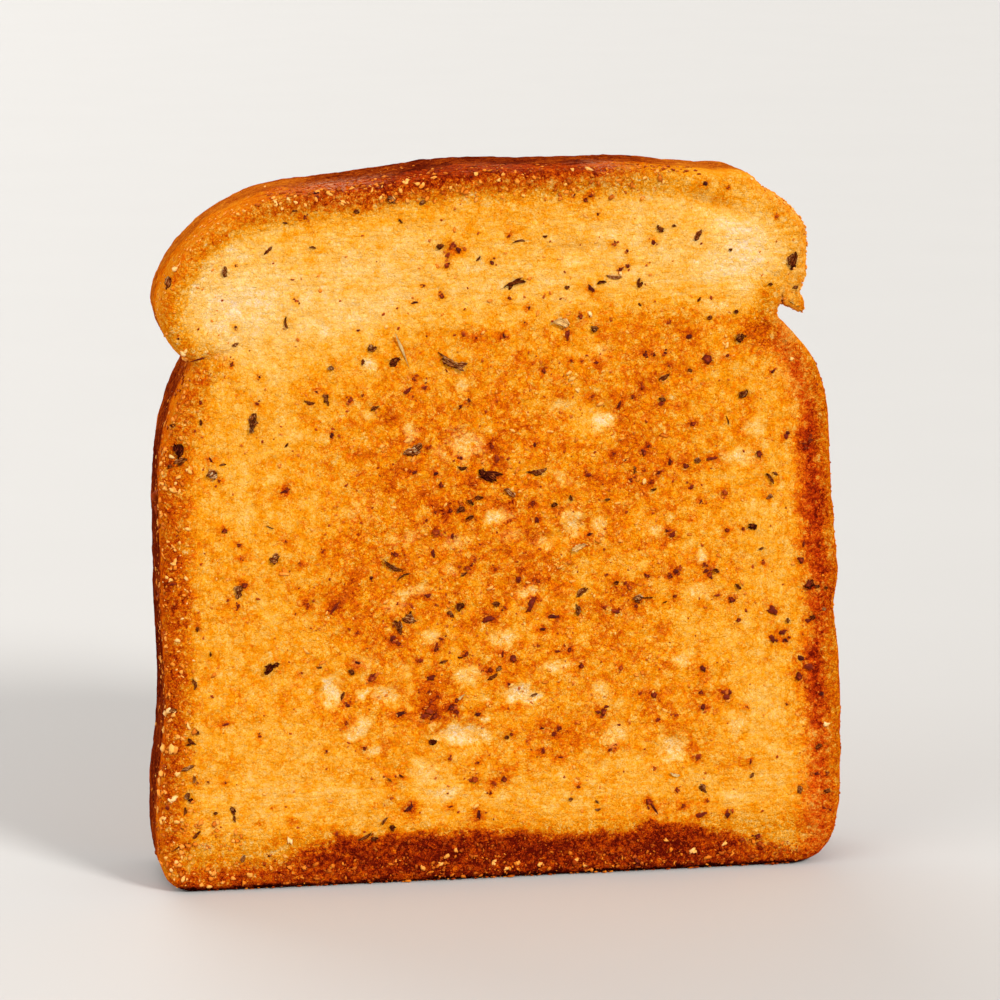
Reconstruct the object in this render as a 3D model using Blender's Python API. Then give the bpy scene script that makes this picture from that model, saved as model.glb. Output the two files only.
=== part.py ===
"""A thick slice of buttered, herbed toast that stands on its bottom crust.

Metres, +Z up. The origin is on the surface it stands on, under the middle of the slice.
The cut face with the herbs looks towards -Y, and X runs across the slice.
"""

import math
import random

import bmesh
import bpy
from mathutils import Euler, Matrix, Vector, noise
from mathutils.geometry import delaunay_2d_cdt

MM = 0.001

# Driving dimensions
THICKNESS = 23.0 * MM
HALF = THICKNESS / 2
RIM_RADIUS = 2.0 * MM
FLAP_RIM_RADIUS = 0.7 * MM

# Sizes of the mesh
OUTLINE_STEP = 2.7 * MM
FLAP_STEP = 1.1 * MM
FRONT_STEP = 3.0 * MM
BACK_STEP = 5.0 * MM
RIM_TURNS = 2
SIDE_ROWS = 3

# How far the points of a cut face keep off its ring and its hollows' points, in steps of its grid
RING_CLEARANCE = 0.6
FEATURE_CLEARANCE = 0.3
HOLLOW_CLEARANCE = 0.45

# Relief of the crumb and the crust
FACE_WAVE = 0.35 * MM
SIDE_WAVE = 0.45 * MM
WAVE_LENGTH = 17.0 * MM
BACK_WAVE_OFFSET = 60.0 * MM

# The outline seen from the front, in millimetres, anticlockwise. Its stretches meet in corners.
LEFT_NOTCH = (-50.4, 87.8)
FOOT_LEFT = (-52.5, 0.0)
FOOT_RIGHT = (50.0, 0.0)
TEAR_MOUTH = (45.3, 93.9)
TEAR_TOP = (46.1, 97.2)
FLAP_CORNER = (46.5, 95.3)
FLAP_SHOULDER = (50.3, 101.6)
LEFT_SIDE = [
    LEFT_NOTCH, (-51.4, 85.6), (-52.9, 82.6), (-54.3, 79.2), (-55.6, 74.0), (-56.3, 66.0), (-56.2, 52.0),
    (-56.0, 38.0), (-56.4, 26.0), (-57.3, 15.0), (-57.5, 8.0), (-57.1, 4.2), (-55.4, 1.3), FOOT_LEFT,
]
RIGHT_SIDE = [
    FOOT_RIGHT, (54.2, 1.8), (56.4, 5.4), (57.5, 10.0), (57.9, 15.5), (57.4, 26.0), (56.7, 37.0),
    (55.8, 44.3), (56.5, 51.0), (55.4, 66.0), (54.3, 77.5), (53.0, 83.5), (50.8, 87.8), (48.2, 90.8),
    TEAR_MOUTH,
]
TEAR = [TEAR_MOUTH, (45.8, 95.6), TEAR_TOP]
TORN_FLAP = [FLAP_CORNER, (47.2, 95.0), (48.6, 94.2), (49.9, 94.8), (49.6, 96.4), (49.5, 98.3), FLAP_SHOULDER]
CROWN = [
    FLAP_SHOULDER, (50.5, 105.8), (49.6, 109.2), (46.2, 112.7), (42.8, 114.8), (40.0, 117.0),
    (34.0, 117.3), (20.0, 118.5), (2.0, 118.5), (-10.0, 118.1), (-24.0, 116.3), (-37.5, 114.6),
    (-45.0, 111.5), (-50.5, 107.2), (-54.4, 101.8), (-56.0, 96.6), (-54.8, 92.0), (-52.8, 89.4),
    LEFT_NOTCH,
]

# Hollows in the cut face, in millimetres: x, z, half length, half width, turn in degrees, depth
HOLLOWS = [
    (34.0, 112.0, 6.5, 1.9, -17, 1.1), (11.0, 105.0, 4.5, 1.7, 0, 0.7), (16.0, 78.5, 3.2, 2.6, 20, 0.8),
    (9.0, 79.0, 2.2, 2.2, 0, 0.6), (-7.5, 74.0, 3.2, 2.4, 10, 0.7), (-28.5, 33.0, 3.2, 2.8, 0, 0.7),
    (-19.5, 32.0, 2.6, 1.8, 20, 0.7), (-7.5, 25.0, 5.0, 2.0, -3, 0.8), (2.5, 31.5, 3.8, 1.9, 8, 0.8),
    (28.5, 21.0, 3.4, 2.8, 20, 0.8), (12.5, 59.5, 3.6, 2.0, 25, 0.7), (6.5, 57.5, 2.0, 1.6, 20, 0.6),
    (-47.2, 89.0, 3.6, 0.9, 16, 0.9), (47.2, 100.0, 3.2, 0.7, 80, 0.6),
]
HOLLOW_RIM_POINTS = 8

# The largest herb flakes, in millimetres: x, z, length, width, turn in degrees
HERBS = [
    (-9.0, 88.0, 5.0, 1.5, -20), (-3.0, 68.5, 4.2, 2.0, -5), (-19.0, 54.0, 4.2, 1.0, -25),
    (5.0, 69.5, 3.3, 1.3, -5), (-41.5, 78.5, 3.7, 2.0, 70), (-9.0, 105.5, 3.7, 2.4, 30),
    (1.5, 100.0, 3.7, 1.0, 25), (-12.0, 30.0, 3.3, 2.7, 60), (51.0, 35.0, 2.7, 2.3, -30),
    (47.5, 103.0, 2.7, 1.3, 80), (9.5, 93.0, 2.7, 1.5, -10), (-29.5, 81.5, 2.7, 1.0, 95),
    (-15.0, 73.0, 3.0, 1.5, 10), (-53.0, 73.0, 2.0, 2.3, 0), (-48.0, 70.0, 2.3, 1.7, 50),
    (-15.5, 45.0, 2.3, 1.7, -30), (-18.5, 43.0, 2.3, 1.2, 95), (-44.0, 50.5, 2.3, 1.2, 80),
    (-39.0, 37.5, 2.0, 1.7, 20), (-38.0, 56.0, 1.8, 1.2, 35), (39.0, 91.0, 1.7, 2.0, 0),
    (33.5, 86.5, 2.2, 1.3, 80), (26.5, 84.0, 2.0, 0.8, 25), (26.0, 80.0, 1.5, 1.7, 0),
    (39.5, 81.0, 1.7, 1.5, 45), (30.5, 91.0, 1.3, 1.2, -20), (19.0, 79.5, 1.3, 1.5, 50),
    (44.5, 66.5, 2.0, 0.7, -50), (41.5, 59.0, 1.3, 1.0, 0), (0.5, 65.5, 2.0, 1.0, -50),
    (21.0, 49.0, 2.0, 1.3, 20), (12.5, 48.0, 2.0, 1.2, 35), (12.0, 45.0, 1.8, 0.8, -80),
    (4.5, 46.5, 2.0, 1.7, 45), (34.5, 51.0, 1.7, 1.3, 0), (45.0, 44.0, 1.8, 1.5, 0),
    (51.5, 48.5, 2.5, 1.5, 0), (-45.5, 103.0, 2.0, 1.0, 75), (-35.5, 94.5, 2.0, 0.7, 95),
    (-18.5, 87.5, 2.3, 1.5, 30), (-52.5, 21.5, 2.5, 0.8, 10), (-45.5, 13.5, 2.3, 0.8, -75),
    (-23.0, 8.5, 3.0, 0.5, 35), (-19.5, 10.5, 2.0, 1.3, 0), (38.0, 9.5, 2.0, 1.5, 0),
    (33.0, 20.0, 1.7, 1.7, 0), (37.0, 30.5, 2.0, 1.3, 80), (0.5, 24.5, 1.7, 1.5, 0),
    (24.5, 12.5, 1.5, 1.5, 0), (-5.0, 17.5, 1.3, 1.3, 0), (16.5, 28.0, 1.3, 1.0, -45),
]
HERB_THICKNESS = 1.1 * MM
LUMPINESS = 0.12

# Golden crumbs stuck along the rim: stretches of it as (x, z) ends in millimetres, and how many
CRUMB_STRETCHES = [
    ((-55.3, 8.0), (-55.0, 62.0), 26),
    ((-52.0, 3.4), (44.0, 2.6), 34),
    ((-36.0, 112.6), (26.0, 115.6), 12),
]
CRUMB_SIZES = (1.0 * MM, 1.9 * MM)
CRUMB_SPREAD = 0.8 * MM
CRUMB_SINK = 0.25
CRUMB_FLATNESS = (0.7, 1.0)
SEED = 11

# Moves the finished slice so that its box, with what stands out of it, is centred over the origin
CENTRING = Vector((-0.15, 0.2, 0.0)) * MM

CRUMB_COLOUR = (0.83, 0.47, 0.12)
CRUMB_ROUGHNESS = 0.55


def clear_scene():
    for obj in list(bpy.data.objects):
        bpy.data.objects.remove(obj, do_unlink=True)


def toast_material():
    material = bpy.data.materials.new("toast")
    material.use_nodes = True
    shader = material.node_tree.nodes["Principled BSDF"]
    shader.inputs["Base Color"].default_value = (*CRUMB_COLOUR, 1.0)
    shader.inputs["Roughness"].default_value = CRUMB_ROUGHNESS
    shader.inputs["Metallic"].default_value = 0.0
    return material


def smooth_curve(knots, before=None, after=None, steps=24):
    """Points on a smooth curve through the knots. The knots before and after only set its end directions."""
    points = [Vector(k) * MM for k in knots]
    first = Vector(before) * MM if before else points[0] * 2 - points[1]
    last = Vector(after) * MM if after else points[-1] * 2 - points[-2]
    full = [first, *points, last]
    curve = []
    for a, b, c, d in zip(full, full[1:], full[2:], full[3:]):
        for step in range(steps):
            t = step / steps
            curve.append(
                0.5 * (2 * b + (c - a) * t + (2 * a - 5 * b + 4 * c - d) * t**2
                       + (3 * b - a - 3 * c + d) * t**3)
            )
    curve.append(points[-1])
    return curve


def spaced(curve, step):
    """Points at equal distances along the curve, from its first point up to but not at its last."""
    lengths = [0.0]
    for a, b in zip(curve, curve[1:]):
        lengths.append(lengths[-1] + (b - a).length)
    count = max(2, round(lengths[-1] / step))
    points, at = [], 0
    for k in range(count):
        target = lengths[-1] * k / count
        while lengths[at + 1] < target:
            at += 1
        part = (target - lengths[at]) / (lengths[at + 1] - lengths[at])
        points.append(curve[at].lerp(curve[at + 1], part))
    return points


def outline():
    """The closed outline as (point, rim radius) pairs, anticlockwise seen from the front."""
    foot = [Vector(FOOT_LEFT) * MM, Vector(FOOT_RIGHT) * MM]
    stretches = [
        (smooth_curve(LEFT_SIDE, after=(FOOT_LEFT[0] + 4, 0.0)), OUTLINE_STEP, RIM_RADIUS),
        (foot, OUTLINE_STEP, RIM_RADIUS),
        (smooth_curve(RIGHT_SIDE, before=(FOOT_RIGHT[0] - 4, 0.0)), OUTLINE_STEP, RIM_RADIUS),
        (smooth_curve(TEAR), FLAP_STEP, FLAP_RIM_RADIUS),
        (smooth_curve([TEAR_TOP, FLAP_CORNER]), FLAP_STEP, FLAP_RIM_RADIUS),
        (smooth_curve(TORN_FLAP, after=CROWN[1]), FLAP_STEP, FLAP_RIM_RADIUS),
        (smooth_curve(CROWN, before=TORN_FLAP[-2]), OUTLINE_STEP, RIM_RADIUS),
    ]
    return [(p, radius) for curve, step, radius in stretches for p in spaced(curve, step)]


def eased_radii(radii, rounds=3):
    """The rim radii with their jumps smoothed, never above the ones given."""
    eased = list(radii)
    for _ in range(rounds):
        eased = [
            min(radii[k], (eased[k - 1] + eased[k] + eased[(k + 1) % len(eased)]) / 3)
            for k in range(len(eased))
        ]
    return eased


def outward_normals(points):
    normals = []
    for k, point in enumerate(points):
        before, after = points[k - 1], points[(k + 1) % len(points)]
        run = (point - before).normalized() + (after - point).normalized()
        normals.append(Vector((run.y, -run.x)).normalized())
    return normals


def wave(x, y, z, length):
    return noise.noise(Vector((x, y, z)) / length)


def hollow_depth(x, z):
    """How far the cut face lies behind its plane at the hollows."""
    depth = 0.0
    for cx, cz, half_length, half_width, turn, deep in HOLLOWS:
        dx, dz = x / MM - cx, z / MM - cz
        turn = math.radians(turn)
        along = (dx * math.cos(turn) + dz * math.sin(turn)) / half_length
        across = (dz * math.cos(turn) - dx * math.sin(turn)) / half_width
        depth += deep * MM * math.exp(-1.5 * (along**2 + across**2))
    return depth


def front_y(x, z):
    """Where the cut face with the herbs lies."""
    return -HALF + FACE_WAVE * wave(x, 0.0, z, WAVE_LENGTH) + hollow_depth(x, z)


def back_y(x, z):
    return HALF + FACE_WAVE * wave(x, BACK_WAVE_OFFSET, z, WAVE_LENGTH)


def rim_rounding():
    """Rows round the rim, from the cut face to the crust, as shares of its radius: (depth, inset)."""
    turns = [math.pi / 2 * k / RIM_TURNS for k in range(RIM_TURNS + 1)]
    return [(1 - math.cos(turn), 1 - math.sin(turn)) for turn in turns]


def hollow_points():
    """A point in the middle of each hollow of the cut face and a ring of points round it."""
    points = []
    for cx, cz, half_length, half_width, turn, _ in HOLLOWS:
        turn = math.radians(turn)
        points.append(Vector((cx, cz)) * MM)
        for k in range(HOLLOW_RIM_POINTS):
            angle = 2 * math.pi * k / HOLLOW_RIM_POINTS
            along, across = half_length * math.cos(angle), half_width * math.sin(angle)
            points.append(Vector((
                cx + along * math.cos(turn) - across * math.sin(turn),
                cz + along * math.sin(turn) + across * math.cos(turn),
            )) * MM)
    return points


def inside(ring, point):
    """Whether the point lies inside the ring."""
    within = False
    for a, b in zip(ring, ring[1:] + ring[:1]):
        if (a.y > point.y) != (b.y > point.y):
            if point.x < a.x + (b.x - a.x) * (point.y - a.y) / (b.y - a.y):
                within = not within
    return within


def distance(point, points):
    """From the point to the nearest of the points."""
    return min((point - other).length for other in points)


def fill_points(ring, step, features):
    """The features inside the ring and a staggered grid round them, clear of the ring."""
    xs, zs = [p.x for p in ring], [p.y for p in ring]
    found = []
    for point in features:
        if inside(ring, point) and distance(point, ring) > FEATURE_CLEARANCE * step:
            found.append(point)
    keep_off = list(found)
    row_height = step * math.sqrt(3) / 2
    for row in range(1, int((max(zs) - min(zs)) / row_height) + 1):
        z = min(zs) + row * row_height
        x = min(xs) + (step / 2 if row % 2 else 0.0)
        while x < max(xs):
            point = Vector((x, z))
            x += step
            if not inside(ring, point):
                continue
            if distance(point, ring) < RING_CLEARANCE * step:
                continue
            if keep_off and distance(point, keep_off) < HOLLOW_CLEARANCE * step:
                continue
            found.append(point)
    return found


def add_cut_face(mesh, ring, y_at, step, features, looks_back):
    """Fills a ring of vertices with a relief of triangles."""
    flat = [Vector((v.co.x, v.co.z)) for v in ring]
    inner = fill_points(flat, step, features)
    edges = [(k, (k + 1) % len(flat)) for k in range(len(flat))]
    corners, _, faces, origins, _, _ = delaunay_2d_cdt(flat + inner, edges, [], 1, 1e-9)
    placed = []
    for corner, origin in zip(corners, origins):
        if origin and origin[0] < len(ring):
            placed.append(ring[origin[0]])
        else:
            placed.append(mesh.verts.new((corner.x, y_at(corner.x, corner.y), corner.y)))
    for face in faces:
        a, b, c = (placed[k] for k in face)
        turn = (b.co - a.co).cross(c.co - a.co).y
        mesh.faces.new((a, b, c) if (turn > 0) == looks_back else (a, c, b))


def add_side_row(mesh, points, normals, insets, depths):
    """One row of vertices round the slice. The foot stays flat, and the rest of the crust waves a little."""
    row = []
    for point, normal, inset, y in zip(points, normals, insets, depths):
        swell = SIDE_WAVE * wave(point.x, y, point.y, WAVE_LENGTH)
        lift = min(1.0, point.y / RIM_RADIUS)
        place = point + normal * (swell * lift - inset)
        row.append(mesh.verts.new((place.x, y, place.y)))
    return row


def slice_mesh():
    """The bare slice: side rows that follow the outline, closed by the two cut faces."""
    pairs = outline()
    points = [p for p, _ in pairs]
    radii = eased_radii([r for _, r in pairs])
    normals = outward_normals(points)
    mesh = bmesh.new()
    rows = []
    for depth, inset in rim_rounding():
        insets, depths = [inset * r for r in radii], [depth * r - HALF for r in radii]
        rows.append(add_side_row(mesh, points, normals, insets, depths))
    for k in range(1, SIDE_ROWS):
        depths = [(2 * k / SIDE_ROWS - 1) * (HALF - r) for r in radii]
        rows.append(add_side_row(mesh, points, normals, [0.0] * len(points), depths))
    for depth, inset in reversed(rim_rounding()):
        insets, depths = [inset * r for r in radii], [HALF - depth * r for r in radii]
        rows.append(add_side_row(mesh, points, normals, insets, depths))
    for front, back in zip(rows, rows[1:]):
        for k in range(len(points)):
            after = (k + 1) % len(points)
            mesh.faces.new((front[k], back[k], back[after], front[after]))
    add_cut_face(mesh, rows[0], front_y, FRONT_STEP, hollow_points(), False)
    add_cut_face(mesh, rows[-1], back_y, BACK_STEP, [], True)
    bmesh.ops.triangulate(mesh, faces=mesh.faces)
    bmesh.ops.recalc_face_normals(mesh, faces=mesh.faces)
    return mesh


def new_object(name, mesh, material):
    data = bpy.data.meshes.new(name)
    mesh.to_mesh(data)
    mesh.free()
    data.materials.append(material)
    return bpy.data.objects.new(name, data)


def topping(name, place, size, turn, draw, material):
    """A small faceted lump, stretched to size and turned in the plane of the cut face."""
    mesh = bmesh.new()
    bmesh.ops.create_icosphere(mesh, subdivisions=1, radius=0.5)
    for vertex in mesh.verts:
        vertex.co *= 1 + draw.uniform(-LUMPINESS, LUMPINESS)
    stretch = Matrix.Diagonal((*size, 1.0))
    turned = Euler((0.0, -turn, 0.0)).to_matrix().to_4x4()
    mesh.transform(Matrix.Translation(place) @ turned @ stretch)
    return new_object(name, mesh, material)


def herb_flakes(draw, material):
    flakes = []
    for k, (x, z, length, width, turn) in enumerate(HERBS):
        x, z = x * MM, z * MM
        place = Vector((x, front_y(x, z), z))
        size = (length * MM, HERB_THICKNESS, width * MM)
        flakes.append(topping(f"herb_{k}", place, size, math.radians(turn), draw, material))
    return flakes


def rim_crumbs(draw, material):
    crumbs = []
    for start, end, count in CRUMB_STRETCHES:
        start, end = Vector(start) * MM, Vector(end) * MM
        for k in range(count):
            at = start.lerp(end, (k + draw.random()) / count)
            x = at.x + draw.uniform(-CRUMB_SPREAD, CRUMB_SPREAD)
            z = max(at.y + draw.uniform(-CRUMB_SPREAD, CRUMB_SPREAD), CRUMB_SIZES[1])
            span = draw.uniform(*CRUMB_SIZES)
            size = (span, span * draw.uniform(*CRUMB_FLATNESS), span * draw.uniform(*CRUMB_FLATNESS))
            place = Vector((x, -HALF + CRUMB_SINK * span, z))
            turn = draw.uniform(0, math.pi)
            crumbs.append(topping(f"crumb_{len(crumbs)}", place, size, turn, draw, material))
    return crumbs


def fuse(body, toppings):
    """Joins the toppings to the slice as one solid, and removes them."""
    group = bpy.data.collections.new("toppings")
    bpy.context.scene.collection.children.link(group)
    for piece in toppings:
        group.objects.link(piece)
    union = body.modifiers.new("fuse", "BOOLEAN")
    union.operation = "UNION"
    union.operand_type = "COLLECTION"
    union.collection = group
    union.solver = "EXACT"
    graph = bpy.context.evaluated_depsgraph_get()
    joined = bpy.data.meshes.new_from_object(body.evaluated_get(graph), depsgraph=graph)
    body.modifiers.clear()
    body.data = joined
    for piece in toppings:
        bpy.data.objects.remove(piece, do_unlink=True)
    bpy.data.collections.remove(group)


def finish(body):
    """Keeps the largest connected shell, dropping what the union left loose, and centres the slice."""
    mesh = bmesh.new()
    mesh.from_mesh(body.data)
    bmesh.ops.triangulate(mesh, faces=mesh.faces)
    left = set(mesh.verts)
    shells = []
    while left:
        front = [left.pop()]
        shell = set(front)
        while front:
            vertex = front.pop()
            near = {edge.other_vert(vertex) for edge in vertex.link_edges} & left
            left -= near
            shell |= near
            front.extend(near)
        shells.append(shell)
    shells.sort(key=len)
    loose = [vertex for shell in shells[:-1] for vertex in shell]
    bmesh.ops.delete(mesh, geom=loose, context="VERTS")
    mesh.transform(Matrix.Translation(CENTRING))
    mesh.to_mesh(body.data)
    mesh.free()


def main():
    clear_scene()
    material = toast_material()
    draw = random.Random(SEED)
    toast = new_object("toast_slice", slice_mesh(), material)
    bpy.context.scene.collection.objects.link(toast)
    fuse(toast, herb_flakes(draw, material) + rim_crumbs(draw, material))
    finish(toast)


main()
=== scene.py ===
"""The looks of a thick slice of buttered, herbed toast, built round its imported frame.

The frame is in metres, +Z up. Shapes are worked out here in millimetres in the same place,
and become metres when a mesh is made. The face with the herbs looks towards -Y.
"""

import math
import random

import bmesh
import bpy
import numpy as np
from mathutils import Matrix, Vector, noise
from mathutils.bvhtree import BVHTree
from mathutils.geometry import delaunay_2d_cdt


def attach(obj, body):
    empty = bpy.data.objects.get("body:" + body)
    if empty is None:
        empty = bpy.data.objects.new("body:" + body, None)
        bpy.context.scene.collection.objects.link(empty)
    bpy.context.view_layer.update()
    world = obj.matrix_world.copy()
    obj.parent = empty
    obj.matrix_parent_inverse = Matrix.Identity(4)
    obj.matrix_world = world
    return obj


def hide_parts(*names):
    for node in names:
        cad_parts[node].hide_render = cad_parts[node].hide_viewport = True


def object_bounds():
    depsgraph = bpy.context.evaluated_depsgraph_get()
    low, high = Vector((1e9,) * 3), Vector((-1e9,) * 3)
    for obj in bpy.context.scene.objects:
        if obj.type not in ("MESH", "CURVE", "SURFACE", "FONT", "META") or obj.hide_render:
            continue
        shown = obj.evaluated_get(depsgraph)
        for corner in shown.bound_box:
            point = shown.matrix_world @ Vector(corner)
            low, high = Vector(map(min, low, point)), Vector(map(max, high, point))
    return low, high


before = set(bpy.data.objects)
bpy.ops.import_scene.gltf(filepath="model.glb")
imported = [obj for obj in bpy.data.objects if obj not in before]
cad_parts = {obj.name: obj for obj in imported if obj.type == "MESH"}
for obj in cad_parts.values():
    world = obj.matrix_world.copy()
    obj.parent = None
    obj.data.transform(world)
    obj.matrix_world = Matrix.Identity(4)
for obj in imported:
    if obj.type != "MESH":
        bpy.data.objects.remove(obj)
CAD_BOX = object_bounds()
MM = 0.001
BOX_LOW = np.array(CAD_BOX[0]) / MM
BOX_HIGH = np.array(CAD_BOX[1]) / MM
BOX_MARGIN = 0.02
SEED = 7

# The slice's form, with the same named values as its solid
THICKNESS = 23.0
HALF = THICKNESS / 2
RIM_RADIUS = 2.0
FLAP_RIM_RADIUS = 0.7
FACE_WAVE = 0.35
SIDE_WAVE = 0.45
WAVE_LENGTH = 17.0
BACK_WAVE_OFFSET = 60.0
CENTRING = np.array([-0.15, 0.2, 0.0])

# The outline seen from the front, anticlockwise. Its stretches meet in corners.
LEFT_NOTCH = (-50.4, 87.8)
FOOT_LEFT = (-52.5, 0.0)
FOOT_RIGHT = (50.0, 0.0)
FOOT_RUN = 4.0
TEAR_MOUTH = (45.3, 93.9)
TEAR_TOP = (46.1, 97.2)
FLAP_CORNER = (46.5, 95.3)
FLAP_SHOULDER = (50.3, 101.6)
LEFT_SIDE = [
    LEFT_NOTCH, (-51.4, 85.6), (-52.9, 82.6), (-54.3, 79.2), (-55.6, 74.0), (-56.3, 66.0), (-56.2, 52.0),
    (-56.0, 38.0), (-56.4, 26.0), (-57.3, 15.0), (-57.5, 8.0), (-57.1, 4.2), (-55.4, 1.3), FOOT_LEFT,
]
RIGHT_SIDE = [
    FOOT_RIGHT, (54.2, 1.8), (56.4, 5.4), (57.5, 10.0), (57.9, 15.5), (57.4, 26.0), (56.7, 37.0),
    (55.8, 44.3), (56.5, 51.0), (55.4, 66.0), (54.3, 77.5), (53.0, 83.5), (50.8, 87.8), (48.2, 90.8),
    TEAR_MOUTH,
]
TEAR = [TEAR_MOUTH, (45.8, 95.6), TEAR_TOP]
TORN_FLAP = [
    FLAP_CORNER, (47.2, 95.0), (48.6, 94.2), (49.9, 94.8), (49.6, 96.4), (49.5, 98.3), FLAP_SHOULDER,
]
CROWN = [
    FLAP_SHOULDER, (50.5, 105.8), (49.6, 109.2), (46.2, 112.7), (42.8, 114.8), (40.0, 117.0),
    (34.0, 117.3), (20.0, 118.5), (2.0, 118.5), (-10.0, 118.1), (-24.0, 116.3), (-37.5, 114.6),
    (-45.0, 111.5), (-50.5, 107.2), (-54.4, 101.8), (-56.0, 96.6), (-54.8, 92.0), (-52.8, 89.4),
    LEFT_NOTCH,
]

# Hollows in the cut face: x, z, half length, half width, turn in degrees, depth
HOLLOWS = [
    (34, 112, 6.5, 1.9, -17, 1.1), (11, 105, 4.5, 1.7, 0, 0.7), (16, 78.5, 3.2, 2.6, 20, 0.8),
    (9, 79, 2.2, 2.2, 0, 0.6), (-7.5, 74, 3.2, 2.4, 10, 0.7), (-28.5, 33, 3.2, 2.8, 0, 0.7),
    (-19.5, 32, 2.6, 1.8, 20, 0.7), (-7.5, 25, 5, 2, -3, 0.8), (2.5, 31.5, 3.8, 1.9, 8, 0.8),
    (28.5, 21, 3.4, 2.8, 20, 0.8), (12.5, 59.5, 3.6, 2, 25, 0.7), (6.5, 57.5, 2, 1.6, 20, 0.6),
    (-47.2, 89, 3.6, 0.9, 16, 0.9), (47.2, 100, 3.2, 0.7, 80, 0.6),
]
HOLLOW_SHARPNESS = 1.5
# Small seeded hollows: how many, their sizes and depths, and the x and z that they lie between
PORE_COUNT = 420
PORE_SIZES = (0.4, 1.1)
PORE_DEPTHS = (0.12, 0.32)
PORE_LOW = (-52, 8)
PORE_HIGH = (52, 113)
# Where the right of the crown is torn: x, z, half length, half width, turn in degrees, how much rougher
TORN = [(48.2, 95.6, 3.4, 2.6, 0, 2.2), (50.2, 101, 1.6, 4, 0, 1)]

# The fine mesh: distances between its points, and over how much of the ring the rim's radius changes
RING_STEP = 0.62
FRONT_STEP = 0.53
BACK_STEP = 0.95
RIM_TURNS = 5
SIDE_ROWS = 20
RING_CLEARANCE = 0.55
RIM_EASING = 8.0

# Layers of noise, each as its strength, the length of its bumps and its shift
FACE_RELIEF = [(0.16, 4.2, 5.0), (0.13, 1.9, 9.0), (0.10, 1.05, 3.0)]
SIDE_RELIEF = [(0.18, 3.1, 5.0), (0.14, 1.4, 15.0), (0.10, 0.8, 25.0)]
FRONT_MOTTLE = [(0.7, 7.0, 21.0), (0.8, 3.4, 31.0), (0.8, 1.8, 41.0)]
BACK_MOTTLE = [(1.0, 7.0, 21.0), (0.9, 3.4, 31.0), (0.8, 1.8, 41.0)]
CRUST_MOTTLE = [(0.10, 9.0, 71.0), (0.08, 3.0, 81.0)]
BAND_EDGE = [(0.9, 5.0, 51.0), (0.6, 1.7, 61.0)]
BUBBLE_EDGE = [(0.55, 1.9, 61.0), (0.45, 0.9, 67.0)]
CRUST_START = [(2.6, 2.6, 91.0), (4.4, 6.0, 95.0), (4.0, 13.0, 101.0)]
BACK_START = [(3.0, 6.0, 97.0), (1.6, 2.4, 99.0)]

# Browning of the front face, from 0, pale, to 1, nearly burnt
FACE_BROWNING = 0.31
MOTTLE = 0.05
CENTRE_MOTTLE = 0.10
CENTRE = (0, 58, 36, 38, 0, 1)
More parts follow.
